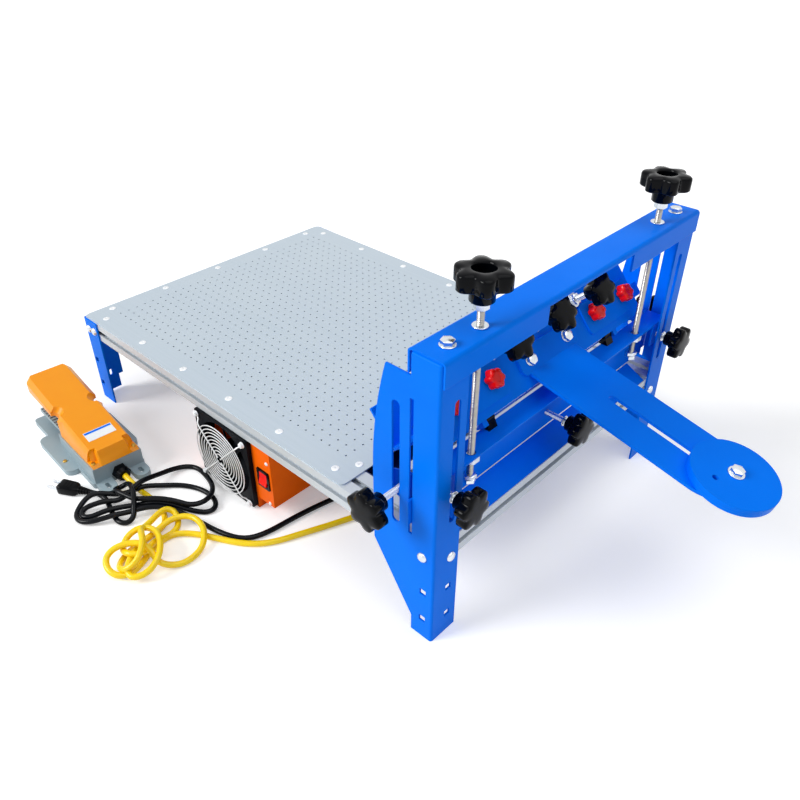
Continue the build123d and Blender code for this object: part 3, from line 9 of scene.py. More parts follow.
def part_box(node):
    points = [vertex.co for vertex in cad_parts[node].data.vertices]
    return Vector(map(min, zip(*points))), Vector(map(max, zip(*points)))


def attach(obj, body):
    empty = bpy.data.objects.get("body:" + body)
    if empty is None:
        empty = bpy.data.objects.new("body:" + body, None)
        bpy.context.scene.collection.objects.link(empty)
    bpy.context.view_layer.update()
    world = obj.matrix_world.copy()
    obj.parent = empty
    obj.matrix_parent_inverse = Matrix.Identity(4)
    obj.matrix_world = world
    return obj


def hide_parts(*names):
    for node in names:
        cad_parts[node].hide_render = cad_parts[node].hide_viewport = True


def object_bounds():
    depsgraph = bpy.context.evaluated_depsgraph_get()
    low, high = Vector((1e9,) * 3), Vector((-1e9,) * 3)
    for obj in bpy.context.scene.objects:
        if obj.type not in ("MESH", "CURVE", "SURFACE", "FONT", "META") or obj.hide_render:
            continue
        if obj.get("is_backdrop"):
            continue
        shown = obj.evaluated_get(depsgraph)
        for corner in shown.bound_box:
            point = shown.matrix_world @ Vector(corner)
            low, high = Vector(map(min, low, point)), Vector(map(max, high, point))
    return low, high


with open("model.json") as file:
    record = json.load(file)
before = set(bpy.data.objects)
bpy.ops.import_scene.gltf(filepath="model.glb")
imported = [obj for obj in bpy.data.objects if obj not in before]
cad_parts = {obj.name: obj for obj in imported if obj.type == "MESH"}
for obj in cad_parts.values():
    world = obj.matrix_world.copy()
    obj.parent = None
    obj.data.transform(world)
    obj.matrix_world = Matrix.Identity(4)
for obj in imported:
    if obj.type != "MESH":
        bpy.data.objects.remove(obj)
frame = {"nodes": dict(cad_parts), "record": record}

bl_info = {
    "name": "Screen Printing Machine",
    "version": (1, 0, 0),
    "blender": (4, 5, 0),
    "location": "View3D > Sidebar > Printer",
    "description": "Finishes a table-top vacuum screen printing machine and lights it on white",
    "category": "Object",
}

# Lengths are written in millimetres in the machine's frame and turned into metres here.
MM = 0.001

# Camera, fitted to the photograph
CAMERA_PLACE = (705.56, 818.55, 765.41)
CAMERA_AZIMUTH = 133.009
CAMERA_ELEVATION = 35.338
CAMERA_ROLL = 0.199
CAMERA_LENS = 34.912
SENSOR_WIDTH = 36.0

# The two cords: diameters, lengths and routes from the box outwards
MAINS_DIAMETER = 7.6
FOOT_DIAMETER = 8.6
MAINS_ROUTE = (
    (81, 120, 36), (54, 120, 36), (35, 134, 24.6), (30, 158, 7.8), (45, 182, 3.9),
    (74, 196, 3.9), (120, 196, 3.9), (170, 182.5, 3.9), (222, 173, 3.9),
    (278, 168, 3.9), (305, 154, 3.9), (319, 117, 3.9), (326, 72, 3.9),
    # First turn, round the far end of the hank
    (333, 52, 6.6), (343, 36, 13), (356, 19, 13), (370, 8, 11.4), (386, 2, 11.2),
    (400, -6, 11.5), (415, -13, 10.1), (429, -23, 6.7), (438, -36, 4.2), (437, -51, 3.9),
    (426, -63, 4.5), (410, -69, 9.5), (397, -67, 11.5), (385, -57, 8.9), (371, -47, 4.5),
    (358, -36, 8.2), (345, -30, 12.6),
    # Lower near loop
    (331, -26, 8.2), (314, -16, 3.9), (298, 0, 3.9), (286, 21, 3.9), (281, 43, 3.9),
    (283, 64, 3.9), (293, 77, 3.9), (306, 76, 3.9), (316, 62, 3.9), (325, 47, 6.6),
    (336, 31, 13), (350, 12, 13), (364, -3, 8),
    # Inner far loop
    (380, -12, 9.5), (396, -19, 11.5), (410, -25, 10.6), (422, -30.5, 7.4), (430, -38, 5.8),
    (430, -47, 5.8), (422, -53.5, 7.4), (410, -48.5, 10.4), (395, -41, 11.5), (380, -33, 6.7),
    (365, -28, 14.6), (350, -31, 20.2),
    # Upper near loop
    (332, -34, 17.6), (310, -37, 10.7), (287, -37, 6.7), (267, -30, 3.9), (258, -13, 3.9),
    (262, 18, 4.5), (273, 46, 10.1), (289, 60, 11.5), (305, 61, 11.5), (319, 53, 12.3),
    (330, 40, 19), (342, 22, 20.6), (356, 4, 18.6), (367, -10, 16),
    # Turn round the waist, and the tail to the plug
    (372, -27, 16.8), (376, -42, 17.2), (373, -53, 12.3), (365, -55, 8.4), (357, -51, 12.3),
    (355, -43, 17.9), (359, -27, 21.8), (367, -9, 21.8), (376, 4, 16.8), (383.5, 13.5, 8.4),
    (394, 14, 4.4), (401, 5, 3.9), (401, -6, 3.9), (398, -22, 3.9), (393, -38, 3.9),
    (389.5, -52, 4.4), (392, -64.8, 7.6), (398, -76, 8), (399.9, -79.5, 8),
)
FOOT_ROUTE = (
    (103, 171, 36), (103, 200, 36), (112, 224, 30.6), (132, 241, 10.2), (160, 237, 4.4),
    (200, 222, 4.4), (241, 205, 4.4), (284, 187, 4.4), (309, 162, 4.4),
    (326, 130, 4.4), (340, 102, 4.4), (357, 81, 4.4), (375, 76.5, 4.4),
    # Under the knot and round its far side
    (392, 80, 4.8), (410, 88, 5), (428, 97, 5.3), (442, 100, 5.7), (455, 94, 7),
    (460, 78, 10.2), (454, 62, 15.3), (440, 60, 21.7), (424, 68, 25.5), (411, 82, 26.8),
    (407, 99, 21.7), (409, 113, 12.7), (400, 124, 6.3),
    # Large loop
    (382, 135, 4.4), (353, 131, 5.7), (335, 113, 12.1), (329, 94, 14), (331, 76, 14.4),
    (343, 64, 14.4), (358, 61, 14.4), (374, 64, 14), (390, 68, 14),
    # Ring of the knot
    (405, 70, 15.3), (420, 76, 14), (434, 86, 12.7), (444, 98, 11.4), (446, 110, 10.2),
    (436, 119, 11.4), (421, 122, 16.6), (404, 114, 23), (392, 98, 24.9), (384, 78, 23.6),
    (386, 60, 21.7), (396, 48, 19.1), (411, 47, 15.9), (424, 55, 12.7), (431, 68, 15.3),
    (429, 82, 19.1), (419, 91, 17.8), (405, 88, 16.6), (391, 80, 14),
    # Small loop
    (376, 77, 6.3), (362, 76, 5), (351, 71, 5), (343, 60, 5.7), (340, 48, 11.4),
    (347, 40, 16.6), (362, 42, 17.8), (377, 48, 17.8), (391, 54, 20.4),
    # Over the top of the knot and down
    (401, 66, 30.6), (408, 84, 33.2), (420, 99, 30.6), (434, 104, 21.7), (447, 97, 14),
    (447, 82, 7.6), (437, 70, 4.8), (420, 62, 4.4), (398, 60, 4.4),
    # Lead to the foot switch
    (377.5, 58.6, 4.4), (361.7, 54.3, 4.4), (350, 38, 4.4), (345.5, 14, 4.4),
    (344.5, -8, 4.4), (346, -30, 4.4), (348.9, -52.7, 13.2), (347.9, -67.7, 13.2),
)

# Planes and places of the machine that the pieces are laid out on
HINGE_PLACE = (0.0, 408.0, 243.0)
HINGE_NORMAL = (0.0, sin(radians(50)), cos(radians(50)))
ARM_SLOPE = radians(13)
PEDAL_TURN = radians(-3.7)
PEDAL_PLACE = (340.0, -190.0, 0.0)
FAN_PLACE = (255.0, 57.0, 62.0)
LEAD_SCREW = (176.0, 430.0)
CLAMP_KNOB_STEP = 86.0
# Blue sheet on the rear rail's top that paints the carriage web's reflection: its front, its top and its
# half width
REFLECTION_FRONT = 414.6
REFLECTION_TOP = 164.5
REFLECTION_HALF = 205.0
PLATEN_HALF = (250.0, 300.0)
PLATEN_CORNER = 8.0
PLATEN_THICK = 2.0
PLATEN_TOP = 154.0
HOLE_FIELD = (415.0, 526.0)
SIDE_FACE = 253.5
REAR_FACE = 448.0
BEAM_TOP = 390.5
BOX_FACE = 247.0

# The foot switch's cover, along the switch and above the floor: its toe, the fall of its top,
# its waist recess, and the heel where the corners step down to the screws
COVER_TOE = (-111.0, 88.0)
COVER_SLOPE = 33.0 / 206.5
COVER_HALF = 36.0
WAIST = -13.0
WAIST_REACH = 11.0
HEEL_TOP = 95.5
HEEL_STEP = 87.5
SCREW_LEDGE = 38.6

# Directions that hold in the whole machine
ACROSS = (1, 0, 0)
ALONG = (0, 1, 0)
UP = (0, 0, 1)

# Star knobs: name, node, body, place, local X, outward axis, diameter, stand, the reach of
# the stud behind the plane, the washer's radius, and whether the face is closed
KNOB_SIZE = 60.0
STAR_KNOBS = (
    ("right_top_knob", "lift_knob_right", "right_screw", (LEAD_SCREW[0], LEAD_SCREW[1], BEAM_TOP),
     ACROSS, UP, 60, 28, 0, 0, False),
    ("left_top_knob", "lift_knob_left", "left_screw", (-LEAD_SCREW[0], LEAD_SCREW[1], BEAM_TOP),
     ACROSS, UP, 60, 28, 0, 0, False),
    ("right_side_knob", "side_lock_knob_right", "carriage", (SIDE_FACE, 391, 206),
     ALONG, (1, 0, 0), 50, 22, 11, 0, True),
    ("left_side_knob", "side_lock_knob_left", "carriage", (-SIDE_FACE, 391, 206),
     ALONG, (-1, 0, 0), 50, 22, 11, 0, True),
    ("right_rear_knob", "rear_lock_knob_right", "carriage", (226.5, REAR_FACE, 214),
     ACROSS, ALONG, 46, 6, 11, 7, True),
    ("left_rear_knob", "rear_lock_knob_left", "carriage", (-226.5, REAR_FACE, 214),
     ACROSS, ALONG, 46, 6, 11, 7, True),
    ("centre_rear_knob", "centre_lock_knob", "carriage", (0, 439.5, 186),
     ACROSS, ALONG, 46, 6, 28, 7, True),
)
# Profile of a star knob of the full size: radius, height above the hub's foot, and how
# far the valleys between the lobes draw it in
STAR_BODY = (
    (0, 0, 0), (11.8, 0, 0), (13, 1.2, 0), (13.2, 12, 0), (14.2, 14.4, 0.1),
    (22, 15.4, 0.9), (28.6, 16.2, 1), (30, 17.6, 1), (30, 30.4, 1), (29.4, 32.4, 1),
    (27.4, 33.8, 1),
)
STAR_OPEN = (
    (20, 34.8, 0.7), (13.6, 35, 0.1), (12.4, 34.4, 0), (11.8, 32.4, 0), (11.4, 25, 0),
    (0, 24.6, 0),
)
STAR_CLOSED = ((20, 34.7, 0.7), (12, 35, 0.1), (0, 35, 0))
LOBES = 6
VALLEY_DEPTH = 0.23
VALLEY_TURN = radians(15)

# Lights: where each comes from, and how wide it looks in degrees
KEY_FROM = (1.0, -0.66, 0.8)
KEY_SPREAD = 28
OVERHEAD_FROM = (-0.1, 0.3, 1.0)
OVERHEAD_SPREAD = 60
FLOOR_GLOW = 0.3


def linear(code):
    """Linear colour from an sRGB hex code."""
    parts = [int(code[i : i + 2], 16) / 255 for i in (1, 3, 5)]
    tones = [c / 12.92 if c <= 0.04045 else ((c + 0.055) / 1.055) ** 2.4 for c in parts]
    return (*tones, 1.0)


class PrinterSettings(bpy.types.PropertyGroup):
    """Sizes, colours and light levels that the operators use."""

    cord_segments: bpy.props.IntProperty(
        name="Cord Rounding", description="Bevel resolution of the cords", default=6, min=2, max=12
    )
    hole_diameter: bpy.props.FloatProperty(
        name="Hole Diameter", description="Diameter of a suction hole in the table",
        default=2.9 * MM, min=0.5 * MM, max=6 * MM, unit="LENGTH",
    )
    hole_columns: bpy.props.IntProperty(
        name="Hole Columns", description="Suction holes across the table", default=29, min=2, max=60
    )
    hole_rows: bpy.props.IntProperty(
        name="Hole Rows", description="Suction holes along the table", default=36, min=2, max=60
    )
    knob_segments: bpy.props.IntProperty(
        name="Knob Segments", description="Steps round a star knob", default=120, min=24, max=240
    )
    thread_pitch: bpy.props.FloatProperty(
        name="Thread Pitch", description="Pitch of the lead screws",
        default=2.0 * MM, min=0.5 * MM, max=6 * MM, unit="LENGTH",
    )
    frame_colour: bpy.props.FloatVectorProperty(
        name="Frame Colour", description="Enamel of the uprights, the beam and the arm",
        subtype="COLOR", default=linear("#007DFD")[:3], min=0, max=1,
    )
    box_colour: bpy.props.FloatVectorProperty(
        name="Box Colour", description="Enamel of the control box",
        subtype="COLOR", default=linear("#FF6E04")[:3], min=0, max=1,
    )
    cover_colour: bpy.props.FloatVectorProperty(
        name="Cover Colour", description="Moulded cover of the foot switch",
        subtype="COLOR", default=linear("#FFA200")[:3], min=0, max=1,
    )
    key_strength: bpy.props.FloatProperty(
        name="Key Light", description="Strength of the lamp on the fan's side",
        default=2.2, min=0, max=10,
    )
    fill_strength: bpy.props.FloatProperty(
        name="Overhead Light", description="Strength of the lamp above", default=0.95, min=0, max=10
    )
    sky_strength: bpy.props.FloatProperty(
        name="Room Light", description="Even light from all sides", default=0.33, min=0, max=2
    )


def settings():
    """The values in the sidebar."""
    return bpy.context.scene.printer_settings


def frame_at(place, x_axis, z_axis):
    """Matrix from local millimetres, with the given X and Z directions, to the frame's metres."""
    z = Vector(z_axis).normalized()
    x = Vector(x_axis).normalized()
    pose = Matrix((x, z.cross(x), z)).transposed().to_4x4()
    pose.translation = Vector(place)
    return Matrix.Scale(MM, 4) @ pose


HINGE = frame_at(HINGE_PLACE, ACROSS, HINGE_NORMAL)
ARM_ROOT = HINGE @ Vector((0, -14, 15)) / MM
ARM = frame_at(ARM_ROOT, ACROSS, (0, sin(ARM_SLOPE), cos(ARM_SLOPE)))
PEDAL = frame_at(PEDAL_PLACE, (cos(PEDAL_TURN), sin(PEDAL_TURN), 0), UP)
PLUG = frame_at(MAINS_ROUTE[-2], UP, (24, -45, 0))
RELIEF = frame_at(MAINS_ROUTE[0], ALONG, (-1, 0, 0))
FAN = frame_at(FAN_PLACE, ALONG, ACROSS)


def per_metre(size):
    """Pattern scale for a feature of that many millimetres, in coordinates in metres."""
    return 1 / (size * MM)


def add_node(tree, kind, options=None, inputs=None):
    """One node with its settings, and its inputs as constants or links."""
    node = tree.nodes.new(kind)
    for key, value in (options or {}).items():
        setattr(node, key, value)
    for key, value in (inputs or {}).items():
        if isinstance(value, bpy.types.NodeSocket):
            tree.links.new(value, node.inputs[key])
        else:
            node.inputs[key].default_value = value
    return node


def surface(
    name, tone, second_tone, patch, grain, depth,
    stretch=(1, 1, 1), edge=0.0, wear=0.08, **constants,
):
    """Material whose colour drifts between two tones in patches and whose surface has a grain of
    the given size and depth in millimetres. A tone is a hex code or one of the settings' colours.
    The edges look rounded by edge millimetres, and the roughness drifts by wear. The constants
    are the shader's own sockets."""
    first = linear(tone) if isinstance(tone, str) else (*tone, 1.0)
    material = bpy.data.materials.new(name)
    material.use_nodes = True
    tree = material.node_tree
    tree.nodes.clear()
    shader = add_node(tree, "ShaderNodeBsdfPrincipled")
    for socket, value in constants.items():
        shader.inputs[socket.replace("_", " ").title().replace("Ior", "IOR")].default_value = value
    place = add_node(tree, "ShaderNodeTexCoord")
    drawn = add_node(
        tree, "ShaderNodeMapping", inputs={"Vector": place.outputs["Object"], "Scale": stretch}
    )
    drift = add_node(
        tree, "ShaderNodeTexNoise",
        inputs={"Vector": drawn.outputs["Vector"], "Scale": per_metre(patch), "Detail": 4.0},
    )
    tint = add_node(
        tree, "ShaderNodeMix", {"data_type": "RGBA"},
        {0: drift.outputs["Fac"], 6: first, 7: linear(second_tone)},
    )
    rough = shader.inputs["Roughness"].default_value
    gloss = add_node(
        tree, "ShaderNodeMapRange",
        inputs={"Value": drift.outputs["Fac"], "To Min": rough - wear / 2, "To Max": rough + wear / 2},
    )
    fine = add_node(
        tree, "ShaderNodeTexNoise",
        inputs={"Vector": drawn.outputs["Vector"], "Scale": per_metre(grain), "Detail": 3.0},
    )
    relief = add_node(
        tree, "ShaderNodeBump",
        inputs={"Height": fine.outputs["Fac"], "Distance": depth * MM, "Strength": 1.0},
    )
    if edge:
        softer = add_node(tree, "ShaderNodeBevel", {"samples": 6}, {"Radius": edge * MM})
        tree.links.new(softer.outputs["Normal"], relief.inputs["Normal"])
    tree.links.new(tint.outputs[2], shader.inputs["Base Color"])
    tree.links.new(gloss.outputs["Result"], shader.inputs["Roughness"])
    tree.links.new(relief.outputs["Normal"], shader.inputs["Normal"])
    output = add_node(tree, "ShaderNodeOutputMaterial")
    tree.links.new(shader.outputs["BSDF"], output.inputs["Surface"])
    material.diffuse_color = first
    return material


def make_materials():
    """The machine's finishes, by the record's material slots and a few of its own."""
    finishes = {}
    # Stove enamel on folded steel: deep even blue with soft orange-peel ripples at grazing light
    finishes["painted_blue"] = surface(
        "Blue stove enamel on steel", settings().frame_colour, "#0072F2", 60, 3.0, 0.02,
        edge=0.7, roughness=0.36, specular_ior_level=0.04,
    )
    # Enamel on the control box: flatter orange with a fine peel
    finishes["painted_orange"] = surface(
        "Orange enamel on steel", settings().box_colour, "#F26000", 40, 1.2, 0.02,
        edge=0.5, roughness=0.4, specular_ior_level=0.06,
    )
    # Cast and lacquered foot switch: grey with a sandy grain that breaks the highlights
    finishes["pedal_grey"] = surface(
        "Grey lacquered die casting", "#A0B3BB", "#93A6AE", 20, 0.7, 0.05,
        edge=0.8, roughness=0.45, metallic=0.1,
    )
    # Injection moulded switch cover: warm yellow-orange, soft sheen, slight light spread
    finishes["pedal_orange"] = surface(
        "Orange moulded cover", settings().cover_colour, "#FC9700", 35, 0.8, 0.015,
        roughness=0.34, subsurface_weight=0.05, specular_ior_level=0.35,
    )
    # Dark blue enamel inside the tray, mostly in shadow
    finishes["tray_steel"] = surface(
        "Dark blue enamel", "#0A2A66", "#08225A", 50, 2.5, 0.02, roughness=0.45,
    )
    # Satin anodised extrusion: pale metal with drawing lines along the rail, coarser than real
    # so that they show
    finishes["rail_aluminium"] = surface(
        "Satin anodised aluminium", "#CFD5DA", "#C4CBD1", 80, 0.5, 0.01,
        stretch=(1, 0.02, 1), edge=0.3, roughness=0.5, metallic=0.45,
    )
    # Zinc plated screws and nuts: bright, slightly cloudy metal
    finishes["bright_steel"] = surface(
        "Bright zinc plated steel", "#E6EAEE", "#D2D8DE", 8, 0.6, 0.01,
        edge=0.3, roughness=0.26, metallic=1.0,
    )
    # Threaded rod: the same plating, darkened by grease that sits in the thread
    finishes["thread_steel"] = surface(
        "Greased threaded steel", "#C8C5BE", "#A5A19A", 5, 0.8, 0.02, roughness=0.34, metallic=1.0,
    )
    # Compression moulded knobs: near black with tight window-like highlights
    finishes["black_plastic"] = surface(
        "Black moulded phenolic", "#020306", "#04060A", 12, 1.6, 0.008,
        roughness=0.12, ior=1.55, specular_ior_level=0.08,
    )
    # Fan frame and rotor: black glass-filled plastic with a dry surface
    finishes["fan_black"] = surface(
        "Black glass-filled plastic", "#06090E", "#0A0E14", 10, 0.5, 0.02,
        edge=0.4, roughness=0.42, ior=1.5, specular_ior_level=0.06,
    )
    # Small red knobs and the rocker: clear saturated red with a wet highlight
    finishes["red_plastic"] = surface(
        "Red moulded plastic", "#FF0A06", "#EE0404", 9, 0.9, 0.01,
        edge=0.3, roughness=0.24, ior=1.5, specular_ior_level=0.3,
    )
    # Guard wire: plated, with faint drawing ripples that spread the light along it
    finishes["guard_chrome"] = surface(
        "Plated guard wire", "#FBFCFD", "#EEF1F4", 6, 0.8, 0.01, roughness=0.38, metallic=0.4,
    )
    # Black sheath: smooth extruded surface with long soft highlights
    finishes["cord_black"] = surface(
        "Black cord sheath", "#05070B", "#0B0F16", 25, 1.5, 0.02,
        roughness=0.2, ior=1.5, specular_ior_level=0.15,
    )
    # Yellow sheath: strong yellow that turns a little orange in the folds
    finishes["cord_yellow"] = surface(
        "Yellow cord sheath", "#FFE200", "#FFCE00", 25, 1.5, 0.02,
        roughness=0.3, ior=1.5, subsurface_weight=0.08,
    )
    # White caps on the fan's screws: matt nylon
    finishes["white_nylon"] = surface(
        "White nylon", "#F8FAFC", "#EEF2F6", 4, 0.6, 0.01, roughness=0.4, ior=1.5,
    )
    # Brass lid screws: warm metal dulled by handling
    finishes["brass"] = surface(
        "Dull brass", "#D6B25C", "#B48C36", 4, 0.5, 0.01, roughness=0.3, metallic=1.0,
    )
    finishes["table_steel"] = table_material()
    return finishes


def table_material():
    """Stainless sheet: brushed along the table, with cloudy stains where ink was wiped off. The
    brush lines are coarser than real so that they show."""
    material = surface(
        "Brushed stainless sheet", "#C6D1DB", "#B9C7D1", 3.0, 0.35, 0.012,
        stretch=(1, 0.012, 1), roughness=0.5, metallic=0.35,
    )
    tree = material.node_tree
    shader = next(n for n in tree.nodes if n.type == "BSDF_PRINCIPLED")
    brushed = shader.inputs["Base Color"].links[0].from_socket
    place = add_node(tree, "ShaderNodeTexCoord")
    stain = add_node(
        tree, "ShaderNodeTexNoise",
        inputs={
            "Vector": place.outputs["Object"], "Scale": per_metre(110), "Detail": 5.0,
            "Roughness": 0.55,
        },
    )
    spread = add_node(
        tree, "ShaderNodeMapRange",
        inputs={"Value": stain.outputs["Fac"], "From Min": 0.42, "From Max": 0.68},
    )
    cloudy = add_node(
        tree, "ShaderNodeMix", {"data_type": "RGBA"},
        {0: spread.outputs["Result"], 6: brushed, 7: linear("#C2CED7")},
    )
    tree.links.new(cloudy.outputs[2], shader.inputs["Base Color"])
    return material


def background_rays(tree):
    """Socket that is 1 for rays that see the white directly or in metal or glass, and else 0."""
    path = add_node(tree, "ShaderNodeLightPath")
    direct = add_node(
        tree, "ShaderNodeMath", {"operation": "MAXIMUM"},
        {0: path.outputs["Is Camera Ray"], 1: path.outputs["Is Glossy Ray"]},
    )
    either = add_node(
        tree, "ShaderNodeMath", {"operation": "MAXIMUM"},
        {0: direct.outputs["Value"], 1: path.outputs["Is Transmission Ray"]},
    )
    return either.outputs["Value"]


def turn(bm, matrix, profile, segments, depth=0.0):
    """Turns a profile of (radius, height, share) round the local Z. Valleys between the lobes draw
    the radius in by the depth times the share."""
    rings = []
    for radius, height, *share in profile:
        if radius == 0:
            rings.append([bm.verts.new(matrix @ Vector((0, 0, height)))])
            continue
        loop = []
        for step in range(segments):
            angle = tau * step / segments
            valley = 0.0
            if share and depth:
                valley = share[0] * ((1 + cos(LOBES * (angle - VALLEY_TURN))) / 2) ** 1.2
            reach = radius * (1 - depth * valley)
            point = Vector((reach * cos(angle), reach * sin(angle), height))
            loop.append(bm.verts.new(matrix @ point))
        rings.append(loop)
    for low, high in zip(rings, rings[1:]):
        for step in range(segments):
            after = (step + 1) % segments
            if len(low) == 1:
                bm.faces.new((low[0], high[step], high[after]))
            elif len(high) == 1:
                bm.faces.new((low[step], low[after], high[0]))
            else:
                bm.faces.new((low[step], low[after], high[after], high[step]))


def rod(bm, matrix, radius, start, end, segments=32, bevel=0.4):
    """A round rod or disc along the local Z with its rims turned off."""
    turn(
        bm, matrix,
        (
            (0, start), (radius - bevel, start), (radius, start + bevel),
            (radius, end - bevel), (radius - bevel, end), (0, end),
        ),
        segments,
    )


def ring(bm, matrix, radius, height, wire):
    """A closed ring of round wire round the local Z."""
    around = 72
    sides = 8
    loops = []
    for step in range(around):
        angle = tau * step / around
        loop = []
        for side in range(sides):
            lean = tau * side / sides
            reach = radius + wire * cos(lean)
            point = Vector((reach * cos(angle), reach * sin(angle), height + wire * sin(lean)))
            loop.append(bm.verts.new(matrix @ point))
        loops.append(loop)
    for step in range(around):
        first = loops[step]
        second = loops[(step + 1) % around]
        for side in range(sides):
            after = (side + 1) % sides
            bm.faces.new((first[side], second[side], second[after], first[after]))


def skin(bm, rings):
    """Closes rings of as many points each into one skin with flat ends."""
    for first, second in zip(rings, rings[1:]):
        for step in range(len(first)):
            after = (step + 1) % len(first)
            bm.faces.new((first[step], first[after], second[after], second[step]))
    bm.faces.new(reversed(rings[0]))
    bm.faces.new(rings[-1])


def thread(bm, matrix, low, high, pitch, root, crest):
    """A threaded rod along the local Z, its crest winding up round it."""
    around = 20
    rows = 6
    rings = []
    for row in range(int((high - low) / pitch * rows) + 1):
        height = low + pitch * row / rows
        loop = []
        for step in range(around):
            phase = (row / rows - step / around) % 1
            radius = root + (crest - root) * (1 - abs(2 * phase - 1))
            angle = tau * step / around
            point = Vector((radius * cos(angle), radius * sin(angle), height))
            loop.append(bm.verts.new(matrix @ point))
        rings.append(loop)
    skin(bm, rings)


def hexagon(bm, matrix, flats, start, height):
    """A hexagonal head or nut with its top corners turned down."""
    across = flats / 2 / cos(pi / 6)
    turn(
        bm, matrix,
        (
            (0, start), (across, start), (across, start + height * 0.85),
            (flats / 2 * 0.96, start + height), (0, start + height),
        ),
        6,
    )


def block(bm, matrix, low, high):
    """A box between two local corners."""
    corners = [
        bm.verts.new(matrix @ Vector((x, y, z)))
        for z in (low[2], high[2])
        for x, y in ((low[0], low[1]), (high[0], low[1]), (high[0], high[1]), (low[0], high[1]))
    ]
    for face in ((3, 2, 1, 0), (4, 5, 6, 7), (0, 1, 5, 4), (1, 2, 6, 5), (2, 3, 7, 6), (3, 0, 4, 7)):
        bm.faces.new([corners[i] for i in face])


def rounded(half_x, half_y, corner, steps):
    """Points round a rectangle whose corners are arcs of that many steps."""
    points = []
    for sign_x, sign_y, quarter in ((1, 1, 0), (-1, 1, 1), (-1, -1, 2), (1, -1, 3)):
        for step in range(steps + 1):
            angle = (quarter + step / steps) * pi / 2
            points.append((
                sign_x * (half_x - corner) + corner * cos(angle),
                sign_y * (half_y - corner) + corner * sin(angle),
            ))
    return points


def loft(bm, matrix, sections):
    """Skins rounded rectangles of (height, half X, half Y, corner radius) along the local Z."""
    skin(bm, [
        [bm.verts.new(matrix @ Vector((x, y, height))) for x, y in rounded(half_x, half_y, corner, 4)]
        for height, half_x, half_y, corner in sections
    ])


def add_piece(name, bm, body, slot, replaces=(), finish=None, crease=38):
    """Makes the mesh an object that rides on a body, smooth but for its creases. It has its
    slot's finish, or another where one is named."""
    bmesh.ops.recalc_face_normals(bm, faces=bm.faces)
    for face in bm.faces:
        face.smooth = True
    mesh = bpy.data.meshes.new(name)
    bm.to_mesh(mesh)
    bm.free()
    mesh.set_sharp_from_angle(angle=radians(crease))
    mesh.materials.append(finish_named(finish or slot))
    piece = bpy.data.objects.new(name, mesh)
    bpy.context.scene.collection.objects.link(piece)
    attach(piece, body)
    if replaces:
        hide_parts(*replaces)
    return piece


def soften(piece, width):
    """Rounds the sharp edges of a piece."""
    rounding = piece.modifiers.new("rounding", "BEVEL")
    rounding.width = width * MM
    rounding.segments = 3
    rounding.limit_method = "ANGLE"
    rounding.angle_limit = radians(28)
    rounding.harden_normals = True


def finish_named(name):
    """A finish made by the frame operator, by its slot."""
    return bpy.data.materials[bpy.context.scene["printer_finishes"][name]]


def make_cord(name, points, diameter, slot, replaces):
    """A cord as one smooth spline whose control points are the route."""
    curve = bpy.data.curves.new(name, "CURVE")
    curve.dimensions = "3D"
    spline = curve.splines.new("NURBS")
    spline.points.add(len(points) - 1)
    for control, place in zip(spline.points, points):
        control.co = (*(Vector(place) * MM), 1)
    spline.order_u = 3
    spline.use_endpoint_u = True
    spline.resolution_u = 8
    curve.bevel_depth = diameter / 2 * MM
    curve.bevel_resolution = settings().cord_segments
    curve.use_fill_caps = True
    curve.materials.append(finish_named(slot))
    cord = bpy.data.objects.new(name, curve)
    bpy.context.scene.collection.objects.link(cord)
    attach(cord, "machine")
    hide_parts(*replaces)
    return cord


class PRINTER_OT_finish_frame(bpy.types.Operator):
    """Make the finishes and give every piece of the frame its own"""

    bl_idname = "printer.finish_frame"
    bl_label = "Finish the Frame"

    def execute(self, context):
        finishes = make_materials()
        context.scene["printer_finishes"] = {key: value.name for key, value in finishes.items()}
        slots = {part["node"]: part["material_slot"] for part in frame["record"]["subparts"]}
        for node, piece in frame["nodes"].items():
            if not piece.material_slots:
                piece.data.materials.append(finishes[slots[node]])
            for place in piece.material_slots:
                place.material = finishes[slots[node]]
        return {"FINISHED"}


class PRINTER_OT_camera(bpy.types.Operator):
    """Set up the camera where the photograph was taken from"""

    bl_idname = "printer.camera"
    bl_label = "Camera"

    def execute(self, context):
        azimuth = radians(CAMERA_AZIMUTH)
        elevation = radians(CAMERA_ELEVATION)
        roll = radians(CAMERA_ROLL)
        right = Vector((cos(azimuth), sin(azimuth), 0))
        back = Vector((
            sin(azimuth) * cos(elevation), -cos(azimuth) * cos(elevation), sin(elevation)
        ))
        up = back.cross(right)
        rolled_right = right * cos(roll) + up * sin(roll)
        rolled_up = up * cos(roll) - right * sin(roll)
        pose = Matrix((rolled_right, rolled_up, back)).transposed().to_4x4()
        pose.translation = Vector(CAMERA_PLACE) * MM
        data = bpy.data.cameras.new("photograph_camera")
        data.sensor_width = SENSOR_WIDTH
        data.sensor_fit = "HORIZONTAL"
        data.lens = CAMERA_LENS
        data.clip_start = 0.02
        data.dof.use_dof = False
        camera = bpy.data.objects.new("photograph_camera", data)
        camera.matrix_world = pose
        context.scene.collection.objects.link(camera)
        context.scene.camera = camera
        return {"FINISHED"}


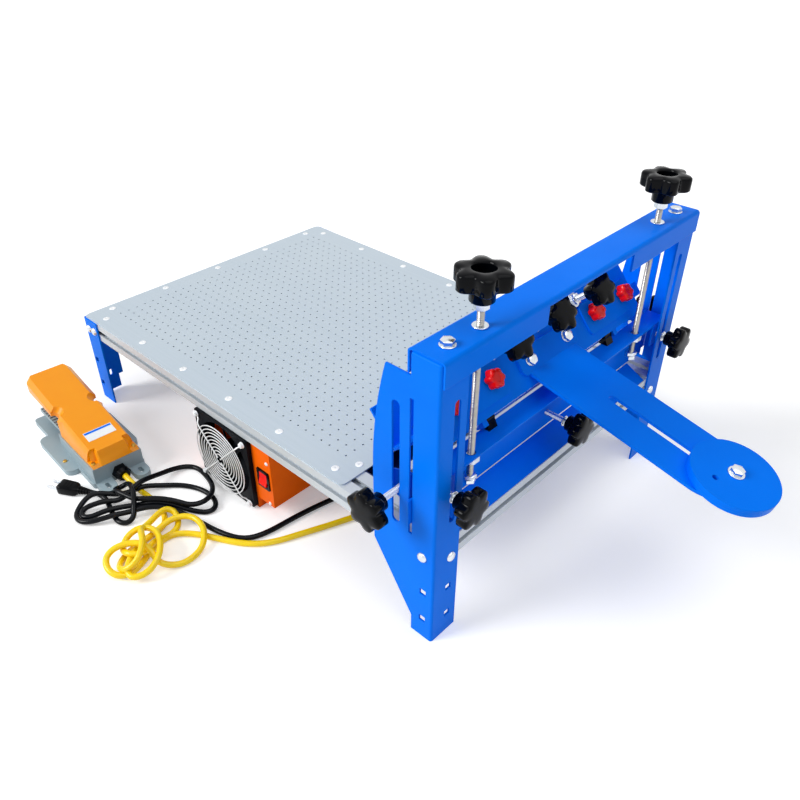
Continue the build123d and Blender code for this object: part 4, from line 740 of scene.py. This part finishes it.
class PRINTER_OT_mains_cord(bpy.types.Operator):
    """Lay the mains cord with its folded hank, its plug and its strain relief"""

    bl_idname = "printer.mains_cord"
    bl_label = "Mains Cord"

    def execute(self, context):
        cord = make_cord(
            "mains_cord", MAINS_ROUTE, MAINS_DIAMETER, "cord_black",
            ("mains_cord_run", "mains_cord_hank"),
        )
        plug = self.make_plug()
        blades = self.make_blades()
        relief = self.make_relief()
        return {"FINISHED"}

    def make_plug(self):
        """Moulded plug: a ribbed relief that flares into a flat-sided body with finger grips."""
        bm = bmesh.new()
        profile = [(0, 0)]
        for rib in range(5):
            start = 1 + rib * 4.2
            reach = 4.0 + rib * 0.55
            profile += [(reach, start), (reach, start + 2.6)]
            profile += [(reach - 1.0, start + 2.9), (reach - 1.0, start + 4.0)]
        profile += [(6.4, 22.4), (0, 22.6)]
        turn(bm, PLUG, profile, 32)
        loft(bm, PLUG, (
            (20.5, 5.0, 6.2, 3.0), (23.5, 6.6, 8.6, 3.2), (27, 7.3, 9.7, 3.2), (45, 7.6, 10.0, 2.6),
            (49.5, 7.6, 10.0, 2.6), (51, 7.0, 9.4, 2.4),
        ))
        for grip in range(3):
            place = 31.5 + grip * 4.6
            block(bm, PLUG, (7.0, -6.2, place), (8.1, 6.2, place + 2.2))
        return add_piece("mains_plug_body", bm, "machine", "black_plastic", ("mains_plug",))

    def make_blades(self):
        """Two flat blades and the round earth pin."""
        bm = bmesh.new()
        for side in (-1, 1):
            block(bm, PLUG, (-2.4, side * 6.35 - 0.75, 50), (3.9, side * 6.35 + 0.75, 67))
            block(bm, PLUG, (-1.6, side * 6.35 - 0.75, 67), (3.1, side * 6.35 + 0.75, 69))
        rod(bm, PLUG @ Matrix.Translation((-5.0, 0, 0)), 2.2, 50, 70, 20, 1.0)
        return add_piece("mains_plug_blades", bm, "machine", "bright_steel")

    def make_relief(self):
        """Tapered relief with rings where the cord leaves the box."""
        bm = bmesh.new()
        profile = [(0, -1), (7.0, -1)]
        for rib in range(6):
            start = rib * 3.7
            reach = 6.6 - rib * 0.42
            profile += [(reach, start), (reach, start + 2.2)]
            profile += [(reach - 0.8, start + 2.5), (reach - 0.8, start + 3.5)]
        profile += [(3.6, 22.4), (0, 22.6)]
        turn(bm, RELIEF, profile, 32)
        return add_piece("mains_cord_relief", bm, "machine", "black_plastic")


class PRINTER_OT_foot_cord(bpy.types.Operator):
    """Lay the foot switch's cord with its loose knot"""

    bl_idname = "printer.foot_cord"
    bl_label = "Foot Switch Cord"

    def execute(self, context):
        cord = make_cord(
            "foot_cord", FOOT_ROUTE, FOOT_DIAMETER, "cord_yellow",
            ("foot_cord_run", "foot_cord_bundle", "foot_cord_lead"),
        )
        return {"FINISHED"}


class PRINTER_OT_table(bpy.types.Operator):
    """Make the perforated table sheet, the screws round its edge, and a blue sheet behind it that paints
    the carriage web's reflection on the rear rail's top
    """

    bl_idname = "printer.table"
    bl_label = "Perforated Table"

    def execute(self, context):
        self.make_sheet()
        self.make_screws()
        self.make_reflection_sheet()
        return {"FINISHED"}

    def make_reflection_sheet(self):
        """Blue sheet that falls from behind the carriage's web to the edge of the rear rail: a painted
        reflection of the web in the rail's top.
        """
        high = Vector(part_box("rear_cross_rail")[1]) / MM
        section = (
            (REFLECTION_FRONT, high.z), (high.y - 1, high.z), (high.y - 1, high.z + 0.9),
            (REFLECTION_FRONT, REFLECTION_TOP),
        )
        bm = bmesh.new()
        skin(bm, [
            [bm.verts.new(Vector((x, y, z)) * MM) for y, z in section]
            for x in (-REFLECTION_HALF, REFLECTION_HALF)
        ])
        add_piece("painted_web_reflection_sheet", bm, "machine", "painted_blue")

    def make_sheet(self):
        """A sheet with a real hole at every suction point."""
        columns = settings().hole_columns
        rows = settings().hole_rows
        radius = settings().hole_diameter / MM / 2
        step_x = HOLE_FIELD[0] / (columns - 1)
        step_y = HOLE_FIELD[1] / (rows - 1)
        field = (step_x * columns / 2, step_y * rows / 2)
        bm = bmesh.new()
        flat = Matrix.Scale(MM, 4)
        points = {}

        def vertex(x, y):
            """The one vertex at a place, which neighbouring cells share."""
            key = (round(x, 3), round(y, 3))
            if key not in points:
                points[key] = bm.verts.new(flat @ Vector((x, y, PLATEN_TOP)))
            return points[key]

        around = ((1, 0), (1, 1), (0, 1), (-1, 1), (-1, 0), (-1, -1), (0, -1), (1, -1))
        for column in range(columns):
            for row in range(rows):
                x = -field[0] + (column + 0.5) * step_x
                y = -field[1] + (row + 0.5) * step_y
                rim = [
                    vertex(x + radius * cos(k * pi / 4), y + radius * sin(k * pi / 4))
                    for k in range(8)
                ]
                cell = [vertex(x + right * step_x / 2, y + up * step_y / 2) for right, up in around]
                for k in range(8):
                    after = (k + 1) % 8
                    bm.faces.new((rim[k], cell[k], cell[after], rim[after]))
        field_edges = [
            edge for edge in bm.edges
            if edge.is_boundary and any(
                all(abs(abs(v.co[axis] / MM) - field[axis]) < 0.01 for v in edge.verts)
                for axis in (0, 1)
            )
        ]
        outline = [
            bm.verts.new(flat @ Vector((x, y, PLATEN_TOP)))
            for x, y in rounded(*PLATEN_HALF, PLATEN_CORNER, 6)
        ]
        outline_edges = [
            bm.edges.new((corner, outline[(i + 1) % len(outline)]))
            for i, corner in enumerate(outline)
        ]
        bmesh.ops.triangle_fill(
            bm, use_beauty=True, use_dissolve=False, edges=field_edges + outline_edges
        )
        lower = bmesh.ops.extrude_face_region(bm, geom=list(bm.faces), use_keep_orig=True)
        moved = [g for g in lower["geom"] if isinstance(g, bmesh.types.BMVert)]
        bmesh.ops.translate(bm, verts=moved, vec=(0, 0, -PLATEN_THICK * MM))
        add_piece("perforated_table", bm, "machine", "table_steel", ("platen_sheet",), crease=30)

    def make_screws(self):
        """Countersunk screws flush in the sheet, each with a cross slot."""
        places = [(side * 233, y) for side in (-1, 1) for y in (-263, -157, -50, 58, 165, 271)]
        places += [(x, side * 287) for side in (-1, 1) for x in (-208, -108, 0, 108, 208)]
        bm = bmesh.new()
        for x, y in places:
            seat = frame_at((x, y, PLATEN_TOP), ACROSS, UP)
            turn(bm, seat, (
                (0, -1.2), (2.5, -1.2), (5.2, 0), (5.2, 0.3), (4.4, 0.9), (1.8, 0.9),
                (1.4, 0.5), (0, 0.5),
            ), 28)
            slot = seat @ Matrix.Rotation(radians(20 + 37 * (x + y) % 90), 4, "Z")
            for cross in (0, pi / 2):
                bar = slot @ Matrix.Rotation(cross, 4, "Z")
                block(bm, bar, (-2.6, -0.35, 0.4), (2.6, 0.35, 0.95))
        add_piece("table_screws", bm, "machine", "bright_steel", finish="guard_chrome")


class PRINTER_OT_star_knobs(bpy.types.Operator):
    """Make the black star knobs with their studs"""

    bl_idname = "printer.star_knobs"
    bl_label = "Star Knobs"

    def execute(self, context):
        knobs = list(STAR_KNOBS)
        for number, x in ((1, CLAMP_KNOB_STEP), (2, 0), (3, -CLAMP_KNOB_STEP)):
            place = HINGE @ Vector((x, -61, 15)) / MM
            knobs.append((
                f"clamp_star_knob_{number}", f"clamp_knob_{number}", "screen_clamp", place,
                ACROSS, HINGE_NORMAL, 46, 26, 26, 10, True,
            ))
        for name, node, body, place, x_axis, z_axis, diameter, stand, reach, washer, closed in knobs:
            seat = frame_at(place, x_axis, z_axis)
            scale = diameter / KNOB_SIZE
            face = STAR_CLOSED if closed else STAR_OPEN
            profile = [(r * scale, stand + z * scale, share) for r, z, share in STAR_BODY + face]
            bm = bmesh.new()
            turn(bm, seat, profile, settings().knob_segments, VALLEY_DEPTH)
            add_piece(name, bm, body, "black_plastic", (node,), crease=50)
            if reach:
                self.make_stud(name, seat, body, stand, reach, washer)
        return {"FINISHED"}

    def make_stud(self, name, seat, body, stand, reach, washer):
        """The knob's stud with its washer, and the pressure foot of a clamp stud."""
        bm = bmesh.new()
        thread(bm, seat, -reach, stand + 1, 1.5, 3.5, 4.0)
        if washer:
            rod(bm, seat, washer, 0.1, 1.8)
        if body == "screen_clamp":
            hexagon(bm, seat, 13, 1.9, 6)
            rod(bm, seat, 8.0, -reach, -reach + 3)
        add_piece(f"{name}_stud", bm, body, "bright_steel")


class PRINTER_OT_registration_knobs(bpy.types.Operator):
    """Make the four small red knobs of the registration plates"""

    bl_idname = "printer.registration_knobs"
    bl_label = "Registration Knobs"

    def execute(self, context):
        for side, hand in ((1, "right"), (-1, "left")):
            for end, place in ((1, "outer"), (-1, "inner")):
                seat = HINGE @ Matrix.Translation((side * (142 + end * 35), -34, 18))
                bm = bmesh.new()
                turn(bm, seat, (
                    (0, 1.0, 0), (11.4, 1.0, 1), (12.5, 2.2, 1), (12.0, 10.5, 1), (10.8, 12.4, 1),
                    (8.6, 13, 0.6), (5.2, 13, 0), (4.6, 12.2, 0), (0, 12, 0),
                ), 72, 0.2)
                add_piece(
                    f"red_knob_{hand}_{place}", bm, "screen_clamp", "red_plastic",
                    (f"registration_knob_{hand}_{place}",), crease=45,
                )
                bm = bmesh.new()
                rod(bm, seat, 6.5, 0.05, 0.95, bevel=0.2)
                rod(bm, seat, 3.0, -7.0, 0.5)
                add_piece(f"red_knob_{hand}_{place}_screw", bm, "screen_clamp", "bright_steel")
        return {"FINISHED"}


class PRINTER_OT_lead_screws(bpy.types.Operator):
    """Make the two threaded lead screws with their nuts and washers"""

    bl_idname = "printer.lead_screws"
    bl_label = "Lead Screws"

    def execute(self, context):
        pitch = settings().thread_pitch / MM
        for side, hand in ((1, "right"), (-1, "left")):
            axis = frame_at((side * LEAD_SCREW[0], LEAD_SCREW[1], 0), ACROSS, UP)
            bm = bmesh.new()
            thread(bm, axis, 194, 411, pitch, 3.2, 4.0)
            add_piece(
                f"lead_screw_{hand}", bm, f"{hand}_screw", "bright_steel",
                (f"lift_screw_{hand}",), finish="thread_steel",
            )
            bm = bmesh.new()
            hexagon(bm, axis, 14, 410.5, 8)
            rod(bm, axis, 8.5, 390.7, 392.5)
            rod(bm, axis, 7.5, 379.6, 387.6)
            hexagon(bm, axis, 14, 199.8, 5)
            hexagon(bm, axis @ Matrix.Rotation(radians(17), 4, "Z"), 14, 194.4, 5)
            add_piece(f"lead_screw_nuts_{hand}", bm, f"{hand}_screw", "bright_steel")
        return {"FINISHED"}


class PRINTER_OT_fan(bpy.types.Operator):
    """Make the wire guard of the fan and the caps over its screws"""

    bl_idname = "printer.fan"
    bl_label = "Fan Guard"

    def execute(self, context):
        bm = bmesh.new()
        for index in range(9):
            ring(bm, FAN, 9.2 + 5.6 * index, 6.0, 0.8)
        for corner in range(4):
            spoke = FAN @ Matrix.Rotation(pi / 4 + corner * pi / 2, 4, "Z")
            wire = ((4.5, 7.4), (57, 7.4), (61.5, 6.2), (65.5, 2.6), (70.2, 1.1))
            for start, end in zip(wire, wire[1:]):
                self.make_bar(bm, spoke, start, end)
            ring(bm, spoke @ Matrix.Translation((74.2, 0, 0)), 4.0, 1.1, 0.9)
        add_piece("fan_guard_wires", bm, "machine", "guard_chrome", ("fan_guard",))
        bm = bmesh.new()
        for y in (-52.5, 52.5):
            for z in (-52.5, 52.5):
                seat = FAN @ Matrix.Translation((y, z, 0))
                turn(bm, seat, (
                    (0, 0.4), (4.4, 0.4), (4.4, 2.6), (3.7, 4.6), (1.8, 5.4), (0, 5.6),
                ), 24)
        add_piece("fan_screw_caps", bm, "machine", "guard_chrome", finish="white_nylon")
        return {"FINISHED"}

    def make_bar(self, bm, spoke, start, end):
        """A straight stretch of wire between two places of distance and height."""
        low = Vector((start[0], 0, start[1]))
        run = Vector((end[0], 0, end[1])) - low
        pose = run.normalized().to_track_quat("Z", "Y").to_matrix().to_4x4()
        pose.translation = low
        rod(bm, spoke @ pose, 1.0, -0.4, run.length + 0.4, 12, 0.3)


class PRINTER_OT_foot_switch(bpy.types.Operator):
    """Make the foot switch's moulded cover, its blank label and its screws"""

    bl_idname = "printer.foot_switch"
    bl_label = "Foot Switch"

    def execute(self, context):
        self.make_cover()
        bm = bmesh.new()
        tilt = Matrix.Rotation(-atan(COVER_SLOPE), 4, "X")
        label = PEDAL @ (Matrix.Translation((0, 63, self.top(63))) @ tilt)
        block(bm, label, (-21.5, -10, -0.5), (21.5, 10, 0.35))
        add_piece("foot_switch_label", bm, "machine", "guard_chrome", finish="white_nylon")
        bm = bmesh.new()
        block(bm, label, (-20.5, -9, 0), (20.5, -5, 0.5))
        add_piece("foot_switch_label_band", bm, "machine", "painted_blue")
        bm = bmesh.new()
        for x in (-31.5, 31.5):
            seat = PEDAL @ Matrix.Translation((x, 98, SCREW_LEDGE))
            turn(bm, seat, ((0, -2), (3.4, -2), (3.4, 0.8), (2.6, 1.9), (0, 2.2)), 24)
            block(bm, seat, (-2.8, -0.4, 1.4), (2.8, 0.4, 2.3))
        for x in (-49, 49):
            seat = PEDAL @ Matrix.Translation((x, 25, 9))
            turn(bm, seat, ((0, -2), (3.4, -2), (3.4, 0.6), (2.6, 1.6), (0, 1.9)), 24)
        add_piece("foot_switch_screws", bm, "machine", "bright_steel", finish="brass")
        return {"FINISHED"}

    def top(self, y):
        """Height of the cover's top plane at a place along the switch."""
        return COVER_TOE[1] - COVER_SLOPE * (y - COVER_TOE[0])

    def section(self, y):
        """Outline of the shell across the switch: half width and height of each outer point,
        then of each inner one, from the foot of the wall to the middle."""
        heel_face = 55 - (y - HEEL_TOP) * 21 / 11
        high = min(self.top(y), heel_face)
        hood = min(max((y + 22) / 18, 0), 1)
        low = (64 - (y - COVER_TOE[0]) * 0.045) * (1 - hood) + 34 * hood
        half = COVER_HALF
        if y < -104:
            half -= 3 * ((-104 - y) / 7) ** 2
        if abs(y - WAIST) < WAIST_REACH:
            half -= 0.82 * (WAIST_REACH**2 - (y - WAIST) ** 2) ** 0.5
        heel = min(max((y + 2) / 10, 0), 1)
        outer = [
            (half, low), (half, low + 3), (half - 1.6 * heel, (low + high) / 2),
            (half - 4 * heel, high - 8 + 4 * heel), (half - 7, high),
        ]
        if y > HEEL_STEP:
            ledge = min(SCREW_LEDGE, high - 0.4)
            outer = [
                (COVER_HALF, 34), (COVER_HALF, ledge - 0.4), (24.5, ledge),
                (23.5, max(high - 4, ledge + 0.1)), (21, high),
            ]
        roof = low + 0.5 if y > 92 else max(high - 4, low + 0.5)
        return outer, [(half - 9, roof), (half - 5, max(roof - 5, low + 0.3)), (half - 4, low)]

    def make_cover(self):
        """A shell open at the toe and below, with waist recesses and stepped heel corners."""
        bm = bmesh.new()
        places = [-111, -109, -106, -104, -80, -50, -26, -24]
        places += [WAIST + WAIST_REACH * sin(radians(a)) for a in range(-90, 91, 15)]
        places += [0, 4, 8, 30, 60, 87.4, 87.6, 95.4, 101, 106.3]
        rings = []
        for y in places:
            outer, inner = self.section(y)
            outline = outer + [(-x, z) for x, z in reversed(outer)]
            outline += [(-x, z) for x, z in reversed(inner)] + inner
            rings.append([bm.verts.new(PEDAL @ Vector((x, y, z))) for x, z in outline])
        skin(bm, rings)
        cover = add_piece("foot_switch_cover", bm, "machine", "pedal_orange", ("pedal_cover",))
        soften(cover, 1.6)


class PRINTER_OT_fasteners(bpy.types.Operator):
    """Put in the bolts and screws that hold the machine together"""

    bl_idname = "printer.fasteners"
    bl_label = "Fasteners"

    def execute(self, context):
        bm = bmesh.new()
        for side in (-1, 1):
            seat = frame_at((side * 224, 429.5, BEAM_TOP), ACROSS, UP)
            rod(bm, seat, 8.6, 0.05, 1.3)
            hexagon(bm, seat @ Matrix.Rotation(radians(14 * side), 4, "Z"), 13, 1.3, 5.4)
            rod(bm, seat, 4, -12, 1.0)
            self.dome(bm, frame_at((side * 225, REAR_FACE, 124), ACROSS, ALONG))
            for y, z in ((431, 132), (-287.6, 135), (-272, 135.5)):
                self.dome(bm, frame_at((side * SIDE_FACE, y, z), ALONG, (side, 0, 0)))
        add_piece("frame_bolts", bm, "machine", "bright_steel")
        bm = bmesh.new()
        for side in (-1, 1):
            seat = HINGE @ Matrix.Translation((side * 37.5, -29, 19))
            rod(bm, seat, 8, 0.05, 1.4)
            hexagon(bm, seat @ Matrix.Rotation(radians(9), 4, "Z"), 13, 1.4, 5.4)
        add_piece("arm_bolts", bm, "screen_clamp", "bright_steel")
        bm = bmesh.new()
        seat = ARM @ Matrix.Translation((0, 243, 16))
        rod(bm, seat, 9.5, 0.05, 1.4)
        hexagon(bm, seat, 13.6, 1.4, 5.4)
        add_piece("disc_bolt", bm, "counterweight", "bright_steel")
        self.box_screws()
        return {"FINISHED"}

    def dome(self, bm, seat, radius=6.5, height=3.8):
        """A coach bolt's round head."""
        turn(bm, seat, (
            (0, -3), (3, -3), (3, 0), (radius, 0), (radius, 0.6), (radius * 0.86, height * 0.62),
            (radius * 0.5, height * 0.93), (0, height),
        ), 32)

    def box_screws(self):
        """Small white screws in the front of the control box."""
        bm = bmesh.new()
        for y, z in ((148, 98), (146, 26)):
            seat = frame_at((BOX_FACE, y, z), ALONG, ACROSS)
            turn(bm, seat, ((0, -1), (2.8, -1), (2.8, 0.6), (2.0, 1.4), (0, 1.7)), 20)
            block(bm, seat, (-2.2, -0.3, 1.0), (2.2, 0.3, 1.75))
        add_piece("box_screws", bm, "machine", "guard_chrome", finish="white_nylon")


class PRINTER_OT_stage(bpy.types.Operator):
    """Build the white floor and the lights"""

    bl_idname = "printer.stage"
    bl_label = "Stage and Lights"

    def execute(self, context):
        self.make_floor(context)
        values = settings()
        self.make_sun(context, "key_light", KEY_FROM, values.key_strength, KEY_SPREAD)
        self.make_sun(
            context, "overhead_light", OVERHEAD_FROM, values.fill_strength, OVERHEAD_SPREAD
        )
        self.make_world(context)
        context.scene.view_settings.view_transform = "Standard"
        return {"FINISHED"}

    def make_floor(self, context):
        """A wide pale floor that keeps the shadows."""
        bm = bmesh.new()
        corners = [bm.verts.new((x, y, 0)) for x, y in ((-9, -9), (9, -9), (9, 9), (-9, 9))]
        bm.faces.new(corners)
        mesh = bpy.data.meshes.new("floor")
        bm.to_mesh(mesh)
        bm.free()
        floor = bpy.data.objects.new("floor", mesh)
        context.scene.collection.objects.link(floor)
        material = bpy.data.materials.new("White paper floor")
        material.use_nodes = True
        tree = material.node_tree
        tree.nodes.clear()
        paper = add_node(
            tree, "ShaderNodeTexNoise", inputs={"Scale": per_metre(40), "Detail": 2.0}
        )
        tint = add_node(
            tree, "ShaderNodeMix", {"data_type": "RGBA"},
            {0: paper.outputs["Fac"], 6: linear("#F6F6F6"), 7: linear("#F8F8F8")},
        )
        diffuse = add_node(tree, "ShaderNodeBsdfDiffuse", inputs={"Color": tint.outputs[2]})
        lift = add_node(
            tree, "ShaderNodeMath", {"operation": "MULTIPLY"}, {0: background_rays(tree), 1: FLOOR_GLOW}
        )
        glow = add_node(tree, "ShaderNodeEmission", inputs={"Strength": lift.outputs["Value"]})
        both = add_node(
            tree, "ShaderNodeAddShader", inputs={0: diffuse.outputs["BSDF"], 1: glow.outputs["Emission"]}
        )
        output = add_node(tree, "ShaderNodeOutputMaterial")
        tree.links.new(both.outputs["Shader"], output.inputs["Surface"])
        mesh.materials.append(material)
        floor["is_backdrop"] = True

    def make_sun(self, context, name, direction, strength, spread):
        """A far lamp that shines from a direction, with a soft edge."""
        data = bpy.data.lights.new(name, "SUN")
        data.energy = strength
        data.angle = radians(spread)
        lamp = bpy.data.objects.new(name, data)
        lamp.rotation_euler = Vector(direction).to_track_quat("Z", "Y").to_euler()
        context.scene.collection.objects.link(lamp)

    def make_world(self, context):
        """White seen directly or in metal, and a calmer even light on the machine."""
        world = bpy.data.worlds.new("white_room")
        context.scene.world = world
        world.use_nodes = True
        tree = world.node_tree
        tree.nodes.clear()
        seen = add_node(
            tree, "ShaderNodeBackground", inputs={"Color": (1, 1, 1, 1), "Strength": 1.0}
        )
        lit = add_node(
            tree, "ShaderNodeBackground",
            inputs={"Color": (0.96, 0.98, 1.0, 1), "Strength": settings().sky_strength},
        )
        mixed = add_node(
            tree, "ShaderNodeMixShader",
            inputs={
                0: background_rays(tree), 1: lit.outputs["Background"],
                2: seen.outputs["Background"],
            },
        )
        output = add_node(tree, "ShaderNodeOutputWorld")
        tree.links.new(mixed.outputs["Shader"], output.inputs["Surface"])


class PRINTER_PT_panel(bpy.types.Panel):
    """Steps of the printer's scene, in order"""

    bl_label = "Screen Printing Machine"
    bl_idname = "PRINTER_PT_panel"
    bl_space_type = "VIEW_3D"
    bl_region_type = "UI"
    bl_category = "Printer"

    def draw(self, context):
        column = self.layout.column(align=True)
        for operator in OPERATORS:
            column.operator(operator.bl_idname)
        values = context.scene.printer_settings
        sizes = self.layout.column()
        for key in PrinterSettings.__annotations__:
            sizes.prop(values, key)


OPERATORS = (
    PRINTER_OT_finish_frame,
    PRINTER_OT_camera,
    PRINTER_OT_mains_cord,
    PRINTER_OT_foot_cord,
    PRINTER_OT_table,
    PRINTER_OT_star_knobs,
    PRINTER_OT_registration_knobs,
    PRINTER_OT_lead_screws,
    PRINTER_OT_fan,
    PRINTER_OT_foot_switch,
    PRINTER_OT_fasteners,
    PRINTER_OT_stage,
)


def register():
    for item in (PrinterSettings, *OPERATORS, PRINTER_PT_panel):
        bpy.utils.register_class(item)
    bpy.types.Scene.printer_settings = bpy.props.PointerProperty(type=PrinterSettings)


def unregister():
    del bpy.types.Scene.printer_settings
    for item in reversed((PrinterSettings, *OPERATORS, PRINTER_PT_panel)):
        bpy.utils.unregister_class(item)


def corners():
    """The shown object's lowest and highest corner as plain lists."""
    low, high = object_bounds()
    return [list(low), list(high)]


def main():
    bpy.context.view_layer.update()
    register()
    bpy.ops.printer.finish_frame()
    bpy.ops.printer.camera()
    bpy.ops.printer.mains_cord()
    bpy.ops.printer.foot_cord()
    bpy.ops.printer.table()
    bpy.ops.printer.star_knobs()
    bpy.ops.printer.registration_knobs()
    bpy.ops.printer.lead_screws()
    bpy.ops.printer.fan()
    bpy.ops.printer.foot_switch()
    bpy.ops.printer.fasteners()
    bpy.ops.printer.stage()


if __name__ == "__main__":
    main()
